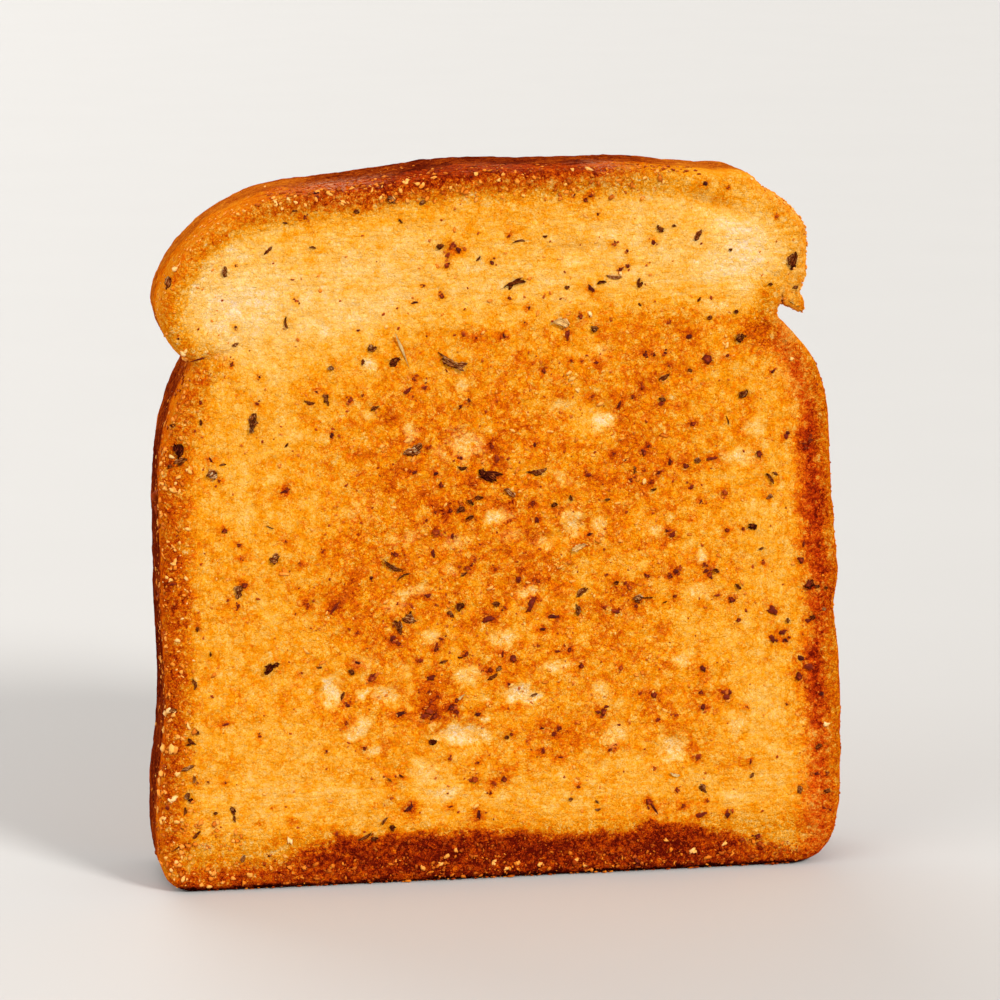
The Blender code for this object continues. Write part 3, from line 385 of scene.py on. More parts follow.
# Round dark specks on the face: x, z, size
DOTS = [
    (-56.1, 14.7, 0.8), (-53.9, 11.2, 0.5), (-51.2, 18.9, 0.4), (-49.4, 18.9, 0.4), (-46.6, 18.6, 0.4),
    (-39.6, 5.9, 0.5), (-28.4, 9.1, 0.7), (-33.5, 3.7, 0.9), (-29.9, 23.3, 0.5), (-26.3, 30.8, 0.9),
    (-26.5, 28.1, 0.5), (-22.3, 35.2, 1.2), (-40.9, 26.3, 0.6), (-12.9, 29.4, 1.7), (-11.9, 28.6, 1.4),
    (-13.8, 28.6, 1.2), (-12.6, 30.9, 0.7), (-11.4, 31.8, 0.6), (-12.9, 32.6, 0.6), (-9.2, 29.8, 1.2),
    (-8.2, 29, 0.9), (-14.2, 38, 0.8), (-11.6, 39.7, 0.8), (-6.6, 38.8, 0.9), (-4, 35.9, 0.5),
    (-2.6, 35.9, 0.8), (0.5, 33.4, 0.6), (5.3, 39.7, 0.6), (19.3, 35.5, 1), (16.4, 28.1, 1.2),
    (8.9, 25.6, 0.9), (-5.3, 17.4, 1.3), (-2, 16.6, 0.8), (-2.6, 15, 0.6), (-9.4, 21.1, 0.7),
    (-4.7, 20.3, 0.5), (-19.3, 14.8, 0.6), (18.5, 22.4, 0.4), (18.5, 21.7, 0.4), (33.3, 28.2, 1.2),
    (37.2, 29.8, 1.3), (36.7, 30.7, 1), (25.6, 26.3, 0.8), (28.6, 27, 0.5), (32.5, 19.7, 1.2),
    (25.1, 17.9, 0.7), (29.1, 14, 0.8), (24.2, 12.3, 1.3), (30.2, 11.3, 0.7), (34.3, 11.8, 0.5),
    (37.7, 9.3, 1.3), (40.8, 28, 0.4), (52.9, 15.9, 0.7), (54.8, 15.8, 0.6), (54.4, 9.8, 0.5),
    (55.5, 9.4, 0.6), (51.3, 34.4, 1.5), (53.6, 29.7, 1), (47.3, 39.2, 0.8), (45, 39.3, 1), (42.9, 5.4, 1),
    (40.3, 5, 0.8), (22.2, 2.3, 1.3), (-46.8, 69.1, 0.4), (-53.9, 60.3, 0.4), (-43.6, 56.1, 0.5),
    (-36.3, 58.7, 0.4), (-30.3, 56.8, 0.6), (-34, 55.1, 0.4), (-45.8, 49.3, 0.6), (-44.1, 48.2, 0.7),
    (-32.7, 48, 0.8), (-34.8, 46.6, 0.4), (-22.3, 52.2, 0.9), (-24.6, 43.1, 0.5), (-12.8, 73.5, 0.6),
    (-7.4, 71.6, 0.6), (-15.1, 69.5, 0.9), (-13.2, 61.5, 0.7), (-11.6, 59.5, 1.4), (-8.9, 58.7, 0.9),
    (-18.3, 55.9, 0.9), (-6.4, 53.3, 1), (-5.2, 54.7, 0.7), (-1.7, 52.9, 0.5), (5.3, 50.7, 0.8),
    (-0.2, 46.4, 0.8), (-11.6, 47.2, 0.5), (-18.9, 41.9, 1.1), (-17.9, 41, 0.9), (-11.6, 40.1, 0.8),
    (-10.8, 41.5, 0.7), (4.4, 64, 0.7), (17.8, 71.6, 0.5), (19.8, 70.5, 0.6), (-1.5, 71.2, 1.1),
    (16.5, 45.8, 0.8), (18.6, 45, 1.1), (31.2, 76.2, 1.1), (23, 71.6, 1.1), (23.7, 72.6, 0.6),
    (25.4, 68.2, 0.8), (23.1, 68.6, 0.5), (24.2, 66.6, 0.5), (31, 65.6, 0.8), (36.5, 64.6, 1),
    (32.5, 63.1, 0.6), (46.8, 73.6, 1.1), (50.9, 72.8, 1.1), (50.2, 71.6, 0.7), (49.3, 72.6, 0.6),
    (27.8, 57.7, 1.2), (26.9, 58.4, 0.6), (43.3, 52.5, 0.6), (34.2, 50.8, 1.2), (33.3, 52.6, 0.7),
    (52.8, 55.1, 0.4), (28.4, 51.6, 1.1), (27.5, 50.8, 0.9), (23.6, 50.9, 0.9), (20.6, 49.1, 1.2),
    (-32.6, 111.4, 0.9), (-30.7, 115.2, 0.9), (-34.1, 98, 0.7), (-43.9, 94, 0.6), (-53.1, 92.4, 0.4),
    (-40.2, 85.8, 0.5), (-31, 83.2, 0.5), (-25.6, 81.6, 1), (-23.6, 82.4, 0.5), (-40.6, 81.5, 0.7),
    (-24.1, 93, 0.5), (-43.8, 103.9, 0.4), (-8.9, 106.2, 1.1), (-7.8, 105.7, 1.2), (-9.5, 104.9, 1),
    (-9.7, 103.2, 1), (-2.3, 103.5, 0.9), (-13.4, 100, 0.6), (-10.6, 98.3, 0.8), (0.5, 107.9, 0.6),
    (18.8, 102, 1), (19.9, 102.5, 0.8), (17.8, 106.1, 0.8), (19.9, 105, 0.6), (3.8, 96, 0.6),
    (3, 93.7, 0.5), (12.2, 94.4, 0.9), (-0.4, 91.5, 0.8), (-7, 91.9, 0.9), (-4.9, 91.3, 0.4),
    (-15.2, 84.9, 0.7), (-13.4, 83.4, 0.9), (-7.5, 80.2, 0.7), (-6.1, 81.1, 0.8), (4.4, 86.8, 0.4),
    (6.3, 85.5, 0.9), (10.8, 87.1, 0.6), (12.6, 87.1, 0.4), (14.4, 81.2, 0.7), (11.1, 114.3, 0.5),
    (14, 114.2, 0.6), (15, 111.1, 0.5), (24.2, 106.4, 0.9), (36.7, 115, 0.4), (44.8, 110.1, 0.6),
    (26.8, 93.1, 0.7), (23, 87.9, 0.7), (24.5, 87.8, 0.6), (26.3, 88.1, 0.7), (44.3, 84.6, 0.9),
    (22.6, 82.6, 0.7), (27, 86, 0.6),
]

# Specks with a sunken middle, paler partly in tone and partly as painted highlight: x, z, size
RINGS = [
    (-23.6, 23.5, 0.8), (-8.3, 31, 0.9), (1.2, 37.7, 1.3), (10.6, 38.9, 0.9), (12.6, 36.1, 1.1),
    (0.9, 24.9, 0.7), (-0.3, 17.2, 1.2), (12.2, 15.4, 0.8), (17.6, 21.5, 0.9), (24.9, 30.6, 1.1),
    (32.9, 30.8, 1), (47.6, 28.1, 0.5), (49.6, 32.9, 1.5), (-46.2, 60.8, 1), (-43.9, 58.4, 0.8),
    (-43, 51.6, 1.2), (-10.8, 67.3, 1), (-9.2, 63, 0.8), (-11.7, 62.7, 0.6), (-2.4, 73.4, 0.9),
    (20.8, 67.1, 0.8), (30, 69.2, 1.1), (42.2, 70.8, 1.3), (39.7, 58.4, 0.8), (37, 58.2, 0.9),
    (49.7, 52.7, 1.3), (51, 48.6, 1.4), (21.8, 45.9, 0.7), (28.3, 47.3, 0.8), (38, 46.4, 1.3),
    (39.2, 42.8, 0.9), (-44.6, 88, 0.8), (-49.7, 82, 0.8), (0.5, 97.7, 0.7), (13, 113.4, 0.9),
    (33.4, 86.9, 1.8), (36.7, 87.4, 0.8), (21, 81, 0.8),
]

# Long specks: x, z, length, width, turn in degrees
LONG_SPECKS = [
    (-24.6, 38, 1.2, 0.5, -10), (-46.5, 28.5, 1.6, 0.5, 10), (-12.5, 35, 1.7, 1, 0),
    (-0.6, 38.5, 1.2, 0.6, 90), (8.6, 38.7, 1, 0.5, 0), (8, 24.6, 1, 0.7, 40), (6, 25.7, 1, 0.5, 0),
    (-4.7, 28.5, 1.3, 0.7, 0), (-4.6, 11.3, 1.6, 0.8, 90), (-9.3, 12.9, 1, 0.3, 20),
    (-16.3, 12.9, 1.7, 0.7, 40), (-15.9, 13.4, 1.4, 0.5, 80), (-17.6, 29.2, 2, 0.7, 20),
    (6.3, 21.9, 1.2, 0.7, 90), (9.2, 20.6, 1, 0.4, 0), (33.2, 34.8, 1.3, 0.9, -40),
    (25.2, 11, 2.6, 0.5, -57), (33.2, 9.6, 1.9, 0.9, 10), (41.5, 18.4, 1.1, 0.4, 90),
    (50, 35.9, 1.5, 1.1, -30), (-48.2, 72.5, 1.3, 0.4, -60), (-54.7, 52.3, 1.6, 0.6, 0),
    (-36.3, 67, 1.8, 0.6, 20), (-35.9, 67.2, 1, 0.5, 80), (-28.6, 76, 1.3, 0.6, 90),
    (-28.4, 47.3, 2.8, 0.5, 50), (-11.6, 69.2, 1, 0.6, 0), (-12.1, 55.8, 1.8, 0.7, 90),
    (2.1, 51, 1.9, 0.8, 90), (4.2, 46.8, 2.8, 1.1, 60), (-3, 44.5, 2.4, 1, 10), (-13, 48.8, 1.3, 0.8, 0),
    (5.1, 60.9, 1.3, 0.8, 90), (13.7, 68.2, 1.1, 0.7, 0), (18.8, 79.7, 1.4, 0.7, 60),
    (4.7, 73.5, 1, 0.5, 90), (13.9, 58.2, 1.2, 0.5, 30), (8, 44.6, 1.8, 0.7, 0), (6.2, 42.5, 1.1, 0.5, 0),
    (25.8, 79.7, 1.4, 0.7, 30), (27.3, 70, 1.2, 0.7, 90), (34.3, 70.3, 2.5, 0.5, 5), (50, 55.5, 1, 0.5, 90),
    (35.5, 47.2, 1.3, 0.5, 0), (45, 44.4, 2, 1.4, -35), (46.7, 40.5, 1.5, 0.9, 0),
    (51.1, 42.3, 1.2, 0.8, 0), (-15, 97.3, 1.5, 0.4, 10), (14, 98.9, 1.6, 0.7, -50),
    (10.1, 91.5, 1.7, 0.7, 90), (-16.2, 82.9, 1.6, 0.7, 40), (14.9, 86.8, 1, 0.6, 0),
    (32.7, 115.7, 1.1, 0.7, 0), (30.3, 90.7, 1.4, 0.9, 0), (-49.9, 88.9, 3.4, 0.35, 13),
]

# Pale and golden crumbs: x, z, length, width, shade from 0, pale, to 1, brown
CRUMBS = [
    (-55.7, 31.1, 1.2, 1, 0.1), (-55.4, 29.4, 0.9, 0.8, 0.4), (-54.3, 26.9, 0.9, 0.8, 0.4),
    (-53.5, 26.5, 1, 0.8, 0.4), (-55.1, 24.7, 1.8, 1.5, 0.3), (-56.5, 24.5, 0.8, 0.7, 0.4),
    (-54.4, 20.6, 0.9, 0.8, 0.15), (-57.9, 20.3, 0.6, 0.5, 0.4), (-58, 18.7, 0.6, 0.5, 0.4),
    (-58, 17.3, 1.2, 0.7, 0.6), (-56.5, 17.5, 0.7, 0.6, 0.4), (-55.2, 16.4, 1.6, 0.9, 0.1),
    (-57.4, 13.9, 0.7, 0.6, 0.4), (-56.6, 12.9, 0.8, 0.7, 0.15), (-54.7, 12.4, 1, 0.8, 0.3),
    (-53.9, 12.7, 0.8, 0.7, 0.3), (-48.1, 10.6, 0.8, 0.8, 0.6), (-36.3, 8.5, 1.3, 0.9, 0.1),
    (-37, 5.7, 0.9, 0.8, 0.4), (-39.3, 3.9, 0.9, 0.8, 0.4), (-42.8, 2.9, 1.1, 0.9, 0.4),
    (-48.9, 3.4, 1.4, 1, 0.4), (-47.3, 1.8, 0.9, 0.7, 0.4), (-50.8, 1.5, 0.8, 0.7, 0.4),
    (-51.6, 70.9, 1.3, 0.9, 0.3), (-56, 72, 0.9, 0.8, 0.3), (-55.8, 73.5, 0.9, 0.5, 0.3),
    (-56.6, 68.7, 0.9, 0.8, 0.4), (-55.7, 68.1, 0.8, 0.7, 0.3), (-54.4, 67.7, 1.4, 1.1, 0.3),
    (-56.3, 63.9, 0.8, 0.7, 0.4), (-54.5, 58.5, 0.9, 0.5, 0.4), (-54.3, 56, 1.5, 0.8, 0.3),
    (-55, 53, 0.9, 0.7, 0.3), (-36.6, 53.4, 1.5, 1, 0.5), (-37.3, 115, 0.8, 0.7, 0.2),
    (-37.1, 113.5, 0.7, 0.6, 0.2), (-35.2, 114.3, 0.8, 0.7, 0.2), (-34, 113.8, 0.7, 0.6, 0.2),
    (-32.5, 113.4, 0.7, 0.6, 0.3), (-36.3, 112.9, 0.6, 0.5, 0.3), (-28.5, 115, 1, 0.8, 0.3),
    (-26.4, 113.8, 1.2, 0.6, 0.3), (-43.6, 112.7, 0.8, 0.7, 0.3), (-42.2, 112.5, 0.7, 0.6, 0.3),
    (-16.5, 118, 0.8, 0.7, 0.3), (-16, 116.8, 1, 0.8, 0.3), (-11.8, 118.4, 1.2, 0.6, 0.4),
    (-1.3, 116.8, 0.8, 0.7, 0.3), (2.8, 114.3, 0.9, 0.7, 0.3), (13.6, 118.2, 1.4, 0.9, 0.2),
    (11, 118.2, 0.7, 0.6, 0.3), (22.6, 116.8, 0.7, 0.6, 0.3), (-52.3, 89.9, 1.2, 1, 0.05),
    (-52.1, 88.9, 1.2, 0.9, 0.4), (-47, 89.2, 1, 0.8, 0.3), (-54.9, 104.2, 1.4, 1.2, 0.1),
    (13.8, 94.8, 1, 0.8, 0), (18.8, 101.3, 0.8, 0.7, 0.1), (36.6, 89.1, 1.4, 0.7, 0.2),
    (47.5, 86.6, 0.8, 0.7, 0.2), (11.8, 82.3, 0.9, 0.8, 0.2), (23, 66.8, 1, 0.8, 0.2),
    (54.5, 24.4, 1.3, 1, 0.1), (49, 98, 0.8, 0.7, 0), (-10, 4.5, 1, 0.8, 0.4), (-14, 2.7, 1, 0.8, 0.4),
    (-11, 3.2, 0.9, 0.8, 0.3), (-2.2, 3, 1.1, 0.9, 0.3), (0.2, 1.9, 1, 0.8, 0.3),
    (-8.5, 5.5, 0.8, 0.7, 0.4), (5.7, 2.2, 1.1, 0.9, 0.3), (2, 2.6, 0.9, 0.8, 0.4),
    (13.5, 1.8, 1, 0.8, 0.3), (11.8, 2.7, 0.9, 0.8, 0.3), (31.7, 3.5, 1.2, 1, 0.2),
    (37.3, 4.4, 1, 0.8, 0.3), (27.1, 5.5, 1, 0.5, 0.4),
]

# Lumps that stand out of the left rim: x, y, z, length, width, shade
RIM_LUMPS = [
    # The two upper lumps are the darkest: partly brown crust, partly painted shade of the left side turned
    # from the light
    (-57.5, -5, 65.7, 2.4, 1.9, 1.2), (-57.4, -6, 63.6, 1.5, 1.2, 1.1), (-57.5, -8, 61.6, 0.9, 0.8, 0.4),
    (-57.8, -10, 30.5, 1, 0.9, 0.15), (-57.9, -9, 27.5, 0.9, 0.8, 0.3), (-58, -9.5, 24.6, 1.3, 1.1, 0.2),
    (-58, -10, 20.4, 1.2, 1, 0.3), (-58, -9, 18.8, 1, 0.9, 0.35), (-58, -10, 17.2, 1.3, 1.1, 0.45),
    (-58.5, -9, 14, 1, 0.9, 0.3), (-57.4, -9, 52, 0.9, 0.7, 0.5), (-57.4, -8, 44.5, 1.1, 0.9, 0.7),
]

# Straws and striped seeds: x, z, length, width, turn in degrees, shade from 0, brown, to 1, pale
STRAWS = [
    (-17.1, 89.6, 6, 0.35, -68, 0.75), (28.6, 16.9, 1.7, 0.4, -20, 0.9), (12, 56.2, 2.5, 0.9, 25, 0.5),
    (9, 93.4, 2.6, 1.3, -15, 0.5), (-7.5, 31.6, 1.4, 0.35, 40, 0.8),
]

# Seeded specks on the front, and leaves and specks on the back with the x and z that they lie between
FINE_SPECKS = 520
BACK_LEAVES = 45
BACK_SPECKS = 160
BACK_X = (-50, 50)
BACK_Z = (8, 110)
# Where seeded crumbs lie on the face: how many, x from and to, z from and to, smallest and largest size,
# palest and brownest shade. The dark ones lie on the bottom band alone.
CRUMB_BEDS = [
    (340, -57.6, -51.5, 2, 86, 0.25, 0.9, 0.1, 0.8), (80, -57.5, -44, 0.8, 14, 0.3, 1, 0.2, 0.8),
    (60, -56, -46, 92, 112, 0.2, 0.5, 0.15, 0.6), (220, -44, 50, 0.8, 4.5, 0.3, 0.9, 0.45, 1),
    (900, -44, 50, 0.8, 9, 0.2, 0.6, 0.75, 1.2), (270, -42, 26, 113.5, 118.3, 0.2, 0.95, 0.25, 0.9),
    (120, 50, 57.2, 3, 88, 0.2, 0.5, 0.4, 0.9), (40, 42, 50, 84, 116, 0.2, 0.5, 0.3, 0.8),
    (50, -52, -44, 84, 90, 0.2, 0.6, 0.3, 0.8),
]
DARK_CRUMB = 0.7
# Where seeded crumbs lie round the rim: how many, x from and to, z from and to, how deep behind the face,
# smallest and largest size, palest and brownest shade
RIM_BEDS = [
    (300, -38, 32, 100, 120, 7, 0.25, 0.8, 0.4, 1.1), (90, -57, -36, 92, 120, 9, 0.25, 0.6, 0.2, 0.6),
    (300, -60, -50, 3, 88, 13, 0.25, 0.8, 0.3, 1), (200, -50, 50, -1, 0.5, 2, 0.3, 0.9, 0.4, 1.1),
    (120, 50, 60, 3, 88, 4, 0.2, 0.5, 0.4, 0.9), (160, 40, 52, 93, 118, 5, 0.25, 0.7, 0.1, 0.5),
]
FACE_GRAINS = 600

# Colours of the toast from pale to burnt, as (browning, red, green, blue) under the light, 0 to 255
TOAST_COLOURS = [
    (0, 252, 206, 162), (0.1, 253, 194, 113), (0.21, 253, 175, 72), (0.3, 250, 156, 28),
    (0.38, 246, 138, 4), (0.52, 234, 104, 4), (0.67, 206, 78, 5), (0.85, 165, 45, 6), (1, 100, 18, 5),
]
# The same where butter fried the crumb redder
FRIED_COLOURS = [
    (0.2, 250, 158, 60), (0.38, 242, 120, 18), (0.52, 230, 82, 9), (0.67, 202, 54, 6), (0.85, 150, 33, 6),
    (1, 112, 17, 5),
]
# The same for the baked crust round the slice
CRUST_COLOURS = [
    (0.2, 240, 150, 40), (0.4, 220, 108, 20), (0.58, 178, 66, 12), (0.76, 124, 32, 8), (0.92, 80, 14, 5),
    (1, 48, 7, 4),
]
# The crumb's pale crinkles and painted glints, the skin of its bubbles, and butter's painted sheen, as red,
# green and blue
CRINKLE_AND_GLINT_COLOUR = (255, 205, 112)
BUBBLE_COLOUR = (252, 200, 132)
PAINTED_SHEEN_COLOUR = (232, 156, 104)
# Colours of the loose things, as (shade, red, green, blue)
# The leaves' palest colours are partly their paler bits and partly painted highlights
LEAF_COLOURS = [
    (0, 58, 10, 4), (0.3, 108, 36, 10), (0.55, 148, 72, 18), (0.8, 184, 124, 70), (1, 224, 178, 128),
]
SPECK_COLOURS = [(0, 54, 9, 4), (0.3, 112, 26, 4), (0.6, 176, 62, 6), (1, 236, 136, 36)]
CRUMB_COLOURS = [(0, 254, 204, 140), (0.3, 248, 170, 78), (0.6, 234, 124, 28), (1, 156, 54, 8)]
STRAW_COLOURS = [(0, 120, 60, 14), (0.4, 214, 146, 62), (1, 252, 206, 132)]
# How much brighter the lights show red, green and blue
LIGHT_GAIN = (1.16, 1.05, 1.0)

# The floor, and how much darker its shaded parts are
FLOOR_RADIUS = 4.0
FLOOR_COLOUR = (0.50, 0.49, 0.475)
FLOOR_SHADE = 0.97
# The lights: where each comes from, its strength and its spread in degrees
LIGHTS = {
    "sun": ((0.50, -0.72, 0.58), 3.0, 14),
    "fill": ((-0.85, -0.45, 0.35), 1.4, 50),
    "back": ((-0.30, 0.85, 0.40), 1.5, 50),
}
LIGHT_COLOUR = (1.0, 0.985, 0.96)
WORLD_COLOUR = (1.0, 0.98, 0.96, 1.0)
WORLD_STRENGTH = 0.72
# The camera: a millimetre at its target is 6 of the picture's 1000 pixels
CAMERA_DISTANCE = 0.620
CAMERA_ELEVATION = math.radians(11)
CAMERA_AZIMUTH = math.radians(-9.3)
CAMERA_TARGET = Vector((0.85, 0.2, 62.2)) * MM
CAMERA_VIEW_WIDTH = 1000 / 6.0 * MM
SENSOR_WIDTH = 36.0


def linear(red, green, blue):
    """A colour as the eye sees it under the light, 0 to 255, as what the surface itself reflects."""
    found = []
    for value, gain in zip((red, green, blue), LIGHT_GAIN):
        share = value / 255
        share = share / 12.92 if share <= 0.04045 else ((share + 0.055) / 1.055) ** 2.4
        found.append(share / gain)
    return (*found, 1.0)


# The outline and its rim


def smooth_curve(knots, before=None, after=None, steps=24):
    """Points on a smooth curve through the knots. Those before and after only set its end directions."""
    points = [Vector(k) for k in knots]
    first = Vector(before) if before else points[0] * 2 - points[1]
    last = Vector(after) if after else points[-1] * 2 - points[-2]
    full = [first, *points, last]
    curve = []
    for a, b, c, d in zip(full, full[1:], full[2:], full[3:]):
        for step in range(steps):
            t = step / steps
            square = (2 * a - 5 * b + 4 * c - d) * t**2
            cube = (3 * b - a - 3 * c + d) * t**3
            curve.append(0.5 * (2 * b + (c - a) * t + square + cube))
    curve.append(points[-1])
    return curve


def spaced(curve, step):
    """Points at equal distances along the curve, from its first point up to but not at its last."""
    curve = np.array([tuple(p) for p in curve])
    lengths = np.concatenate([[0.0], np.cumsum(np.linalg.norm(np.diff(curve, axis=0), axis=1))])
    count = max(2, round(lengths[-1] / step))
    at = lengths[-1] * np.arange(count) / count
    return np.stack([np.interp(at, lengths, curve[:, 0]), np.interp(at, lengths, curve[:, 1])], 1)


def unit(vectors):
    """The same directions, each one long."""
    return vectors / np.maximum(np.linalg.norm(vectors, axis=-1, keepdims=True), 1e-9)


def outline():
    """The closed outline, anticlockwise seen from the front: its points, rim radii and outward normals."""
    stretches = [
        (smooth_curve(LEFT_SIDE, after=(FOOT_LEFT[0] + FOOT_RUN, 0.0)), RIM_RADIUS),
        ([Vector(FOOT_LEFT), Vector(FOOT_RIGHT)], RIM_RADIUS),
        (smooth_curve(RIGHT_SIDE, before=(FOOT_RIGHT[0] - FOOT_RUN, 0.0)), RIM_RADIUS),
        (smooth_curve(TEAR), FLAP_RIM_RADIUS),
        (smooth_curve([TEAR_TOP, FLAP_CORNER]), FLAP_RIM_RADIUS),
        (smooth_curve(TORN_FLAP, after=CROWN[1]), FLAP_RIM_RADIUS),
        (smooth_curve(CROWN, before=TORN_FLAP[-2]), RIM_RADIUS),
    ]
    parts = [spaced(curve, RING_STEP) for curve, _ in stretches]
    points = np.concatenate(parts)
    given = np.concatenate([np.full(len(part), radius) for part, (_, radius) in zip(parts, stretches)])
    eased = given.copy()
    for _ in range(int(RIM_EASING / RING_STEP)):
        eased = np.minimum(given, (np.roll(eased, 1) + eased + np.roll(eased, -1)) / 3)
    behind = points - np.roll(points, 1, axis=0)
    ahead = np.roll(points, -1, axis=0) - points
    run = unit(behind) + unit(ahead)
    return points, eased, unit(np.stack([run[:, 1], -run[:, 0]], 1))


# Fields over the slice


def noise_at(points, length, shift=0.0):
    """Smooth noise of about -0.7 to 0.7 at each point, with bumps of the given length."""
    scaled = np.asarray(points, float) / length + shift
    return np.array([noise.noise(Vector(p)) for p in scaled.tolist()])


def layered(points, layers):
    """The sum of layers of noise, each a row of strength, length and shift."""
    return sum(strength * noise_at(points, length, shift) for strength, length, shift in layers)


def step_up(value, low, high):
    """0 below low, 1 above high and smooth between."""
    share = np.clip((value - low) / (high - low), 0, 1)
    return share * share * (3 - 2 * share)


def table_at(value, rows):
    """The columns of a table of rows, read at value, the table's first column."""
    columns = np.array(sorted(rows), float).T
    return [np.interp(value, columns[0], column) for column in columns[1:]]


def along_across(x, z, middle_x, middle_z, half_length, half_width, turn):
    """How far each point is from a turned ellipse's middle, along it and across it. Its edge is at 1."""
    c, s = math.cos(math.radians(turn)), math.sin(math.radians(turn))
    dx, dz = x - middle_x, z - middle_z
    return (dx * c + dz * s) / half_length, (dz * c - dx * s) / half_width


def ellipses(x, z, rows, sharpness=1.0):
    """The sum of soft ellipses, each a row of x, z, half length, half width, turn in degrees and height."""
    total = np.zeros(len(x))
    for *ellipse, height in rows:
        along, across = along_across(x, z, *ellipse)
        total += height * np.exp(-sharpness * (along**2 + across**2))
    return total


def spots(x, z, rows, ragged):
    """The sum of spots with clear, ragged edges and a thin line round them, in rows as for ellipses."""
    total = np.zeros(len(x))
    for *ellipse, height in rows:
        reach = ragged + np.hypot(*along_across(x, z, *ellipse))
        total += height * (1 - step_up(reach, 0.45, 1.2))
        total -= 0.25 * height * np.exp(-((reach - 1.3) / 0.16) ** 2)
    return total


def pores(draw):
    """Rows for small hollows, spread over the face."""
    rows = []
    for _ in range(PORE_COUNT):
        x, z = draw.uniform(PORE_LOW[0], PORE_HIGH[0]), draw.uniform(PORE_LOW[1], PORE_HIGH[1])
        size = draw.uniform(*PORE_SIZES)
        shape = (size, size * draw.uniform(0.5, 1.0), draw.uniform(0, 180))
        rows.append((x, z, *shape, draw.uniform(*PORE_DEPTHS)))
    return rows


FACE_HOLLOWS = HOLLOWS + pores(random.Random(SEED + 1))


def relief(x, z, back):
    """How far each point of a cut face lies behind the face's flat plane."""
    flat = np.stack([x, np.full(len(x), BACK_WAVE_OFFSET if back else 0.0), z], 1)
    broad = FACE_WAVE * noise_at(flat, WAVE_LENGTH)
    if not back:
        broad = broad + ellipses(x, z, FACE_HOLLOWS, HOLLOW_SHARPNESS)
    return broad + layered(flat, FACE_RELIEF)


def browned_to(value, brown, share):
    """The browning brought up to brown by the given share, and lowered nowhere."""
    return np.maximum(value, value + (brown - value) * share)


def halos():
    """Rows for the browned rings round the burnt specks."""
    rows = []
    for x, z, size in DOTS + RINGS:
        reach = 0.5 * size + DOT_HALO_REACH
        rows.append((x, z, reach, reach, 0, HALO))
    for x, z, length, width, turn in LONG_SPECKS:
        rows.append((x, z, 0.5 * length + LONG_HALO_REACH, 0.5 * width + LONG_HALO_REACH, turn, HALO))
    return rows


def front_browning(x, z, inside):
    """Browning of the cut face with the herbs, how fried it is and where its bubbles are."""
    flat = np.stack([x, np.zeros(len(x)), z], 1)
    value = FACE_BROWNING + ellipses(x, z, BROWNED) + ellipses(x, z, PALE)
    value += layered(flat, FRONT_MOTTLE) * (MOTTLE + CENTRE_MOTTLE * ellipses(x, z, [CENTRE]))
    bubbles = spots(x, z, BUBBLES, layered(flat, BUBBLE_EDGE))
    halo = np.minimum(HALO_LIMIT, ellipses(x, z, halos()))
    value += bubbles
    value += halo
    fried = HALO_FRYING * halo
    edge = layered(flat, BAND_EDGE)

    top, brown = table_at(x, BOTTOM_BAND)
    share = 1 - step_up(z + edge, top - BOTTOM_EDGE_BELOW, top + BOTTOM_EDGE_ABOVE)
    value += (brown - value) * share
    fried = np.maximum(fried, BOTTOM_FRYING * share)
    strip = 1 - step_up(z + 1.3 * edge, *FOOT_STRIP)
    value += (FOOT_BROWNING - value) * strip * FOOT_SHARE

    width, brown = table_at(z, LEFT_BAND)
    share = (1 - step_up(inside + 1.3 * edge, 0.25 * width, width)) * (x < LEFT_BAND_END)
    value = browned_to(value, brown, share)
    fried = np.maximum(fried, SIDE_FRYING * share)

    middle, half_width, brown = table_at(z, RIGHT_STREAK)
    share = np.exp(-((x + edge - middle) / half_width) ** 2) * (z < STREAK_TOP)
    value = browned_to(value, brown, share)
    fried = np.maximum(fried, share)
    outside = step_up(x + edge, middle - 1.0, middle + 2.0)
    value = browned_to(value, RIGHT_EDGE, outside * (z < RIGHT_EDGE_TOP) * (x > RIGHT_EDGE_START))

    reach, brown = table_at(x, CROWN_BAND)
    share = (1 - step_up(inside + 1.2 * edge, 0.5 * reach, reach + 1.0)) * (z > CROWN_BAND_FOOT)
    value = browned_to(value, brown, share)
    share *= step_up(x, *CROWN_FRIED_FROM) * (1 - step_up(x, *CROWN_FRIED_TO))
    fried = np.maximum(fried, CROWN_FRYING * share)
    outer = 1 - step_up(inside + edge, *PALE_RIM_WIDTH)
    share = outer * step_up(x, *PALE_RIM_X) * step_up(z, *PALE_RIM_Z)
    value += (PALE_RIM - value) * PALE_RIM_SHARE * share
    fried = np.maximum(fried, SIDE_FRYING * share)
    return value, fried, np.clip(-4 * bubbles, 0, 1)


def back_browning(x, z, inside, draw):
    """Browning of the other cut face, which the pan browned in the middle and at the rim too."""
    flat = np.stack([x, np.full(len(x), BACK_WAVE_OFFSET), z], 1)
    blobs = [[draw.uniform(*span) for span in BACK_BLOB_RANGES] for _ in range(BACK_BLOBS)]
    value = FACE_BROWNING + ellipses(x, z, [BACK_CENTRE]) + ellipses(x, z, blobs)
    value += BACK_MOTTLE_STRENGTH * layered(flat, BACK_MOTTLE)
    share = 1 - step_up(inside + layered(flat, BAND_EDGE), 1.5, 6.0)
    return browned_to(value, BACK_RIM + ellipses(x, z, [BACK_FOOT]), share)


# The slice's mesh


def inside_ring(ring, x, z):
    """Which points lie inside the ring."""
    within = np.zeros(len(x), bool)
    for (ax, az), (bx, bz) in zip(ring, np.roll(ring, -1, axis=0)):
        if az == bz:
            continue
        crosses = (az > z) != (bz > z)
        within ^= crosses & (x < ax + (bx - ax) * (z - az) / (bz - az))
    return within


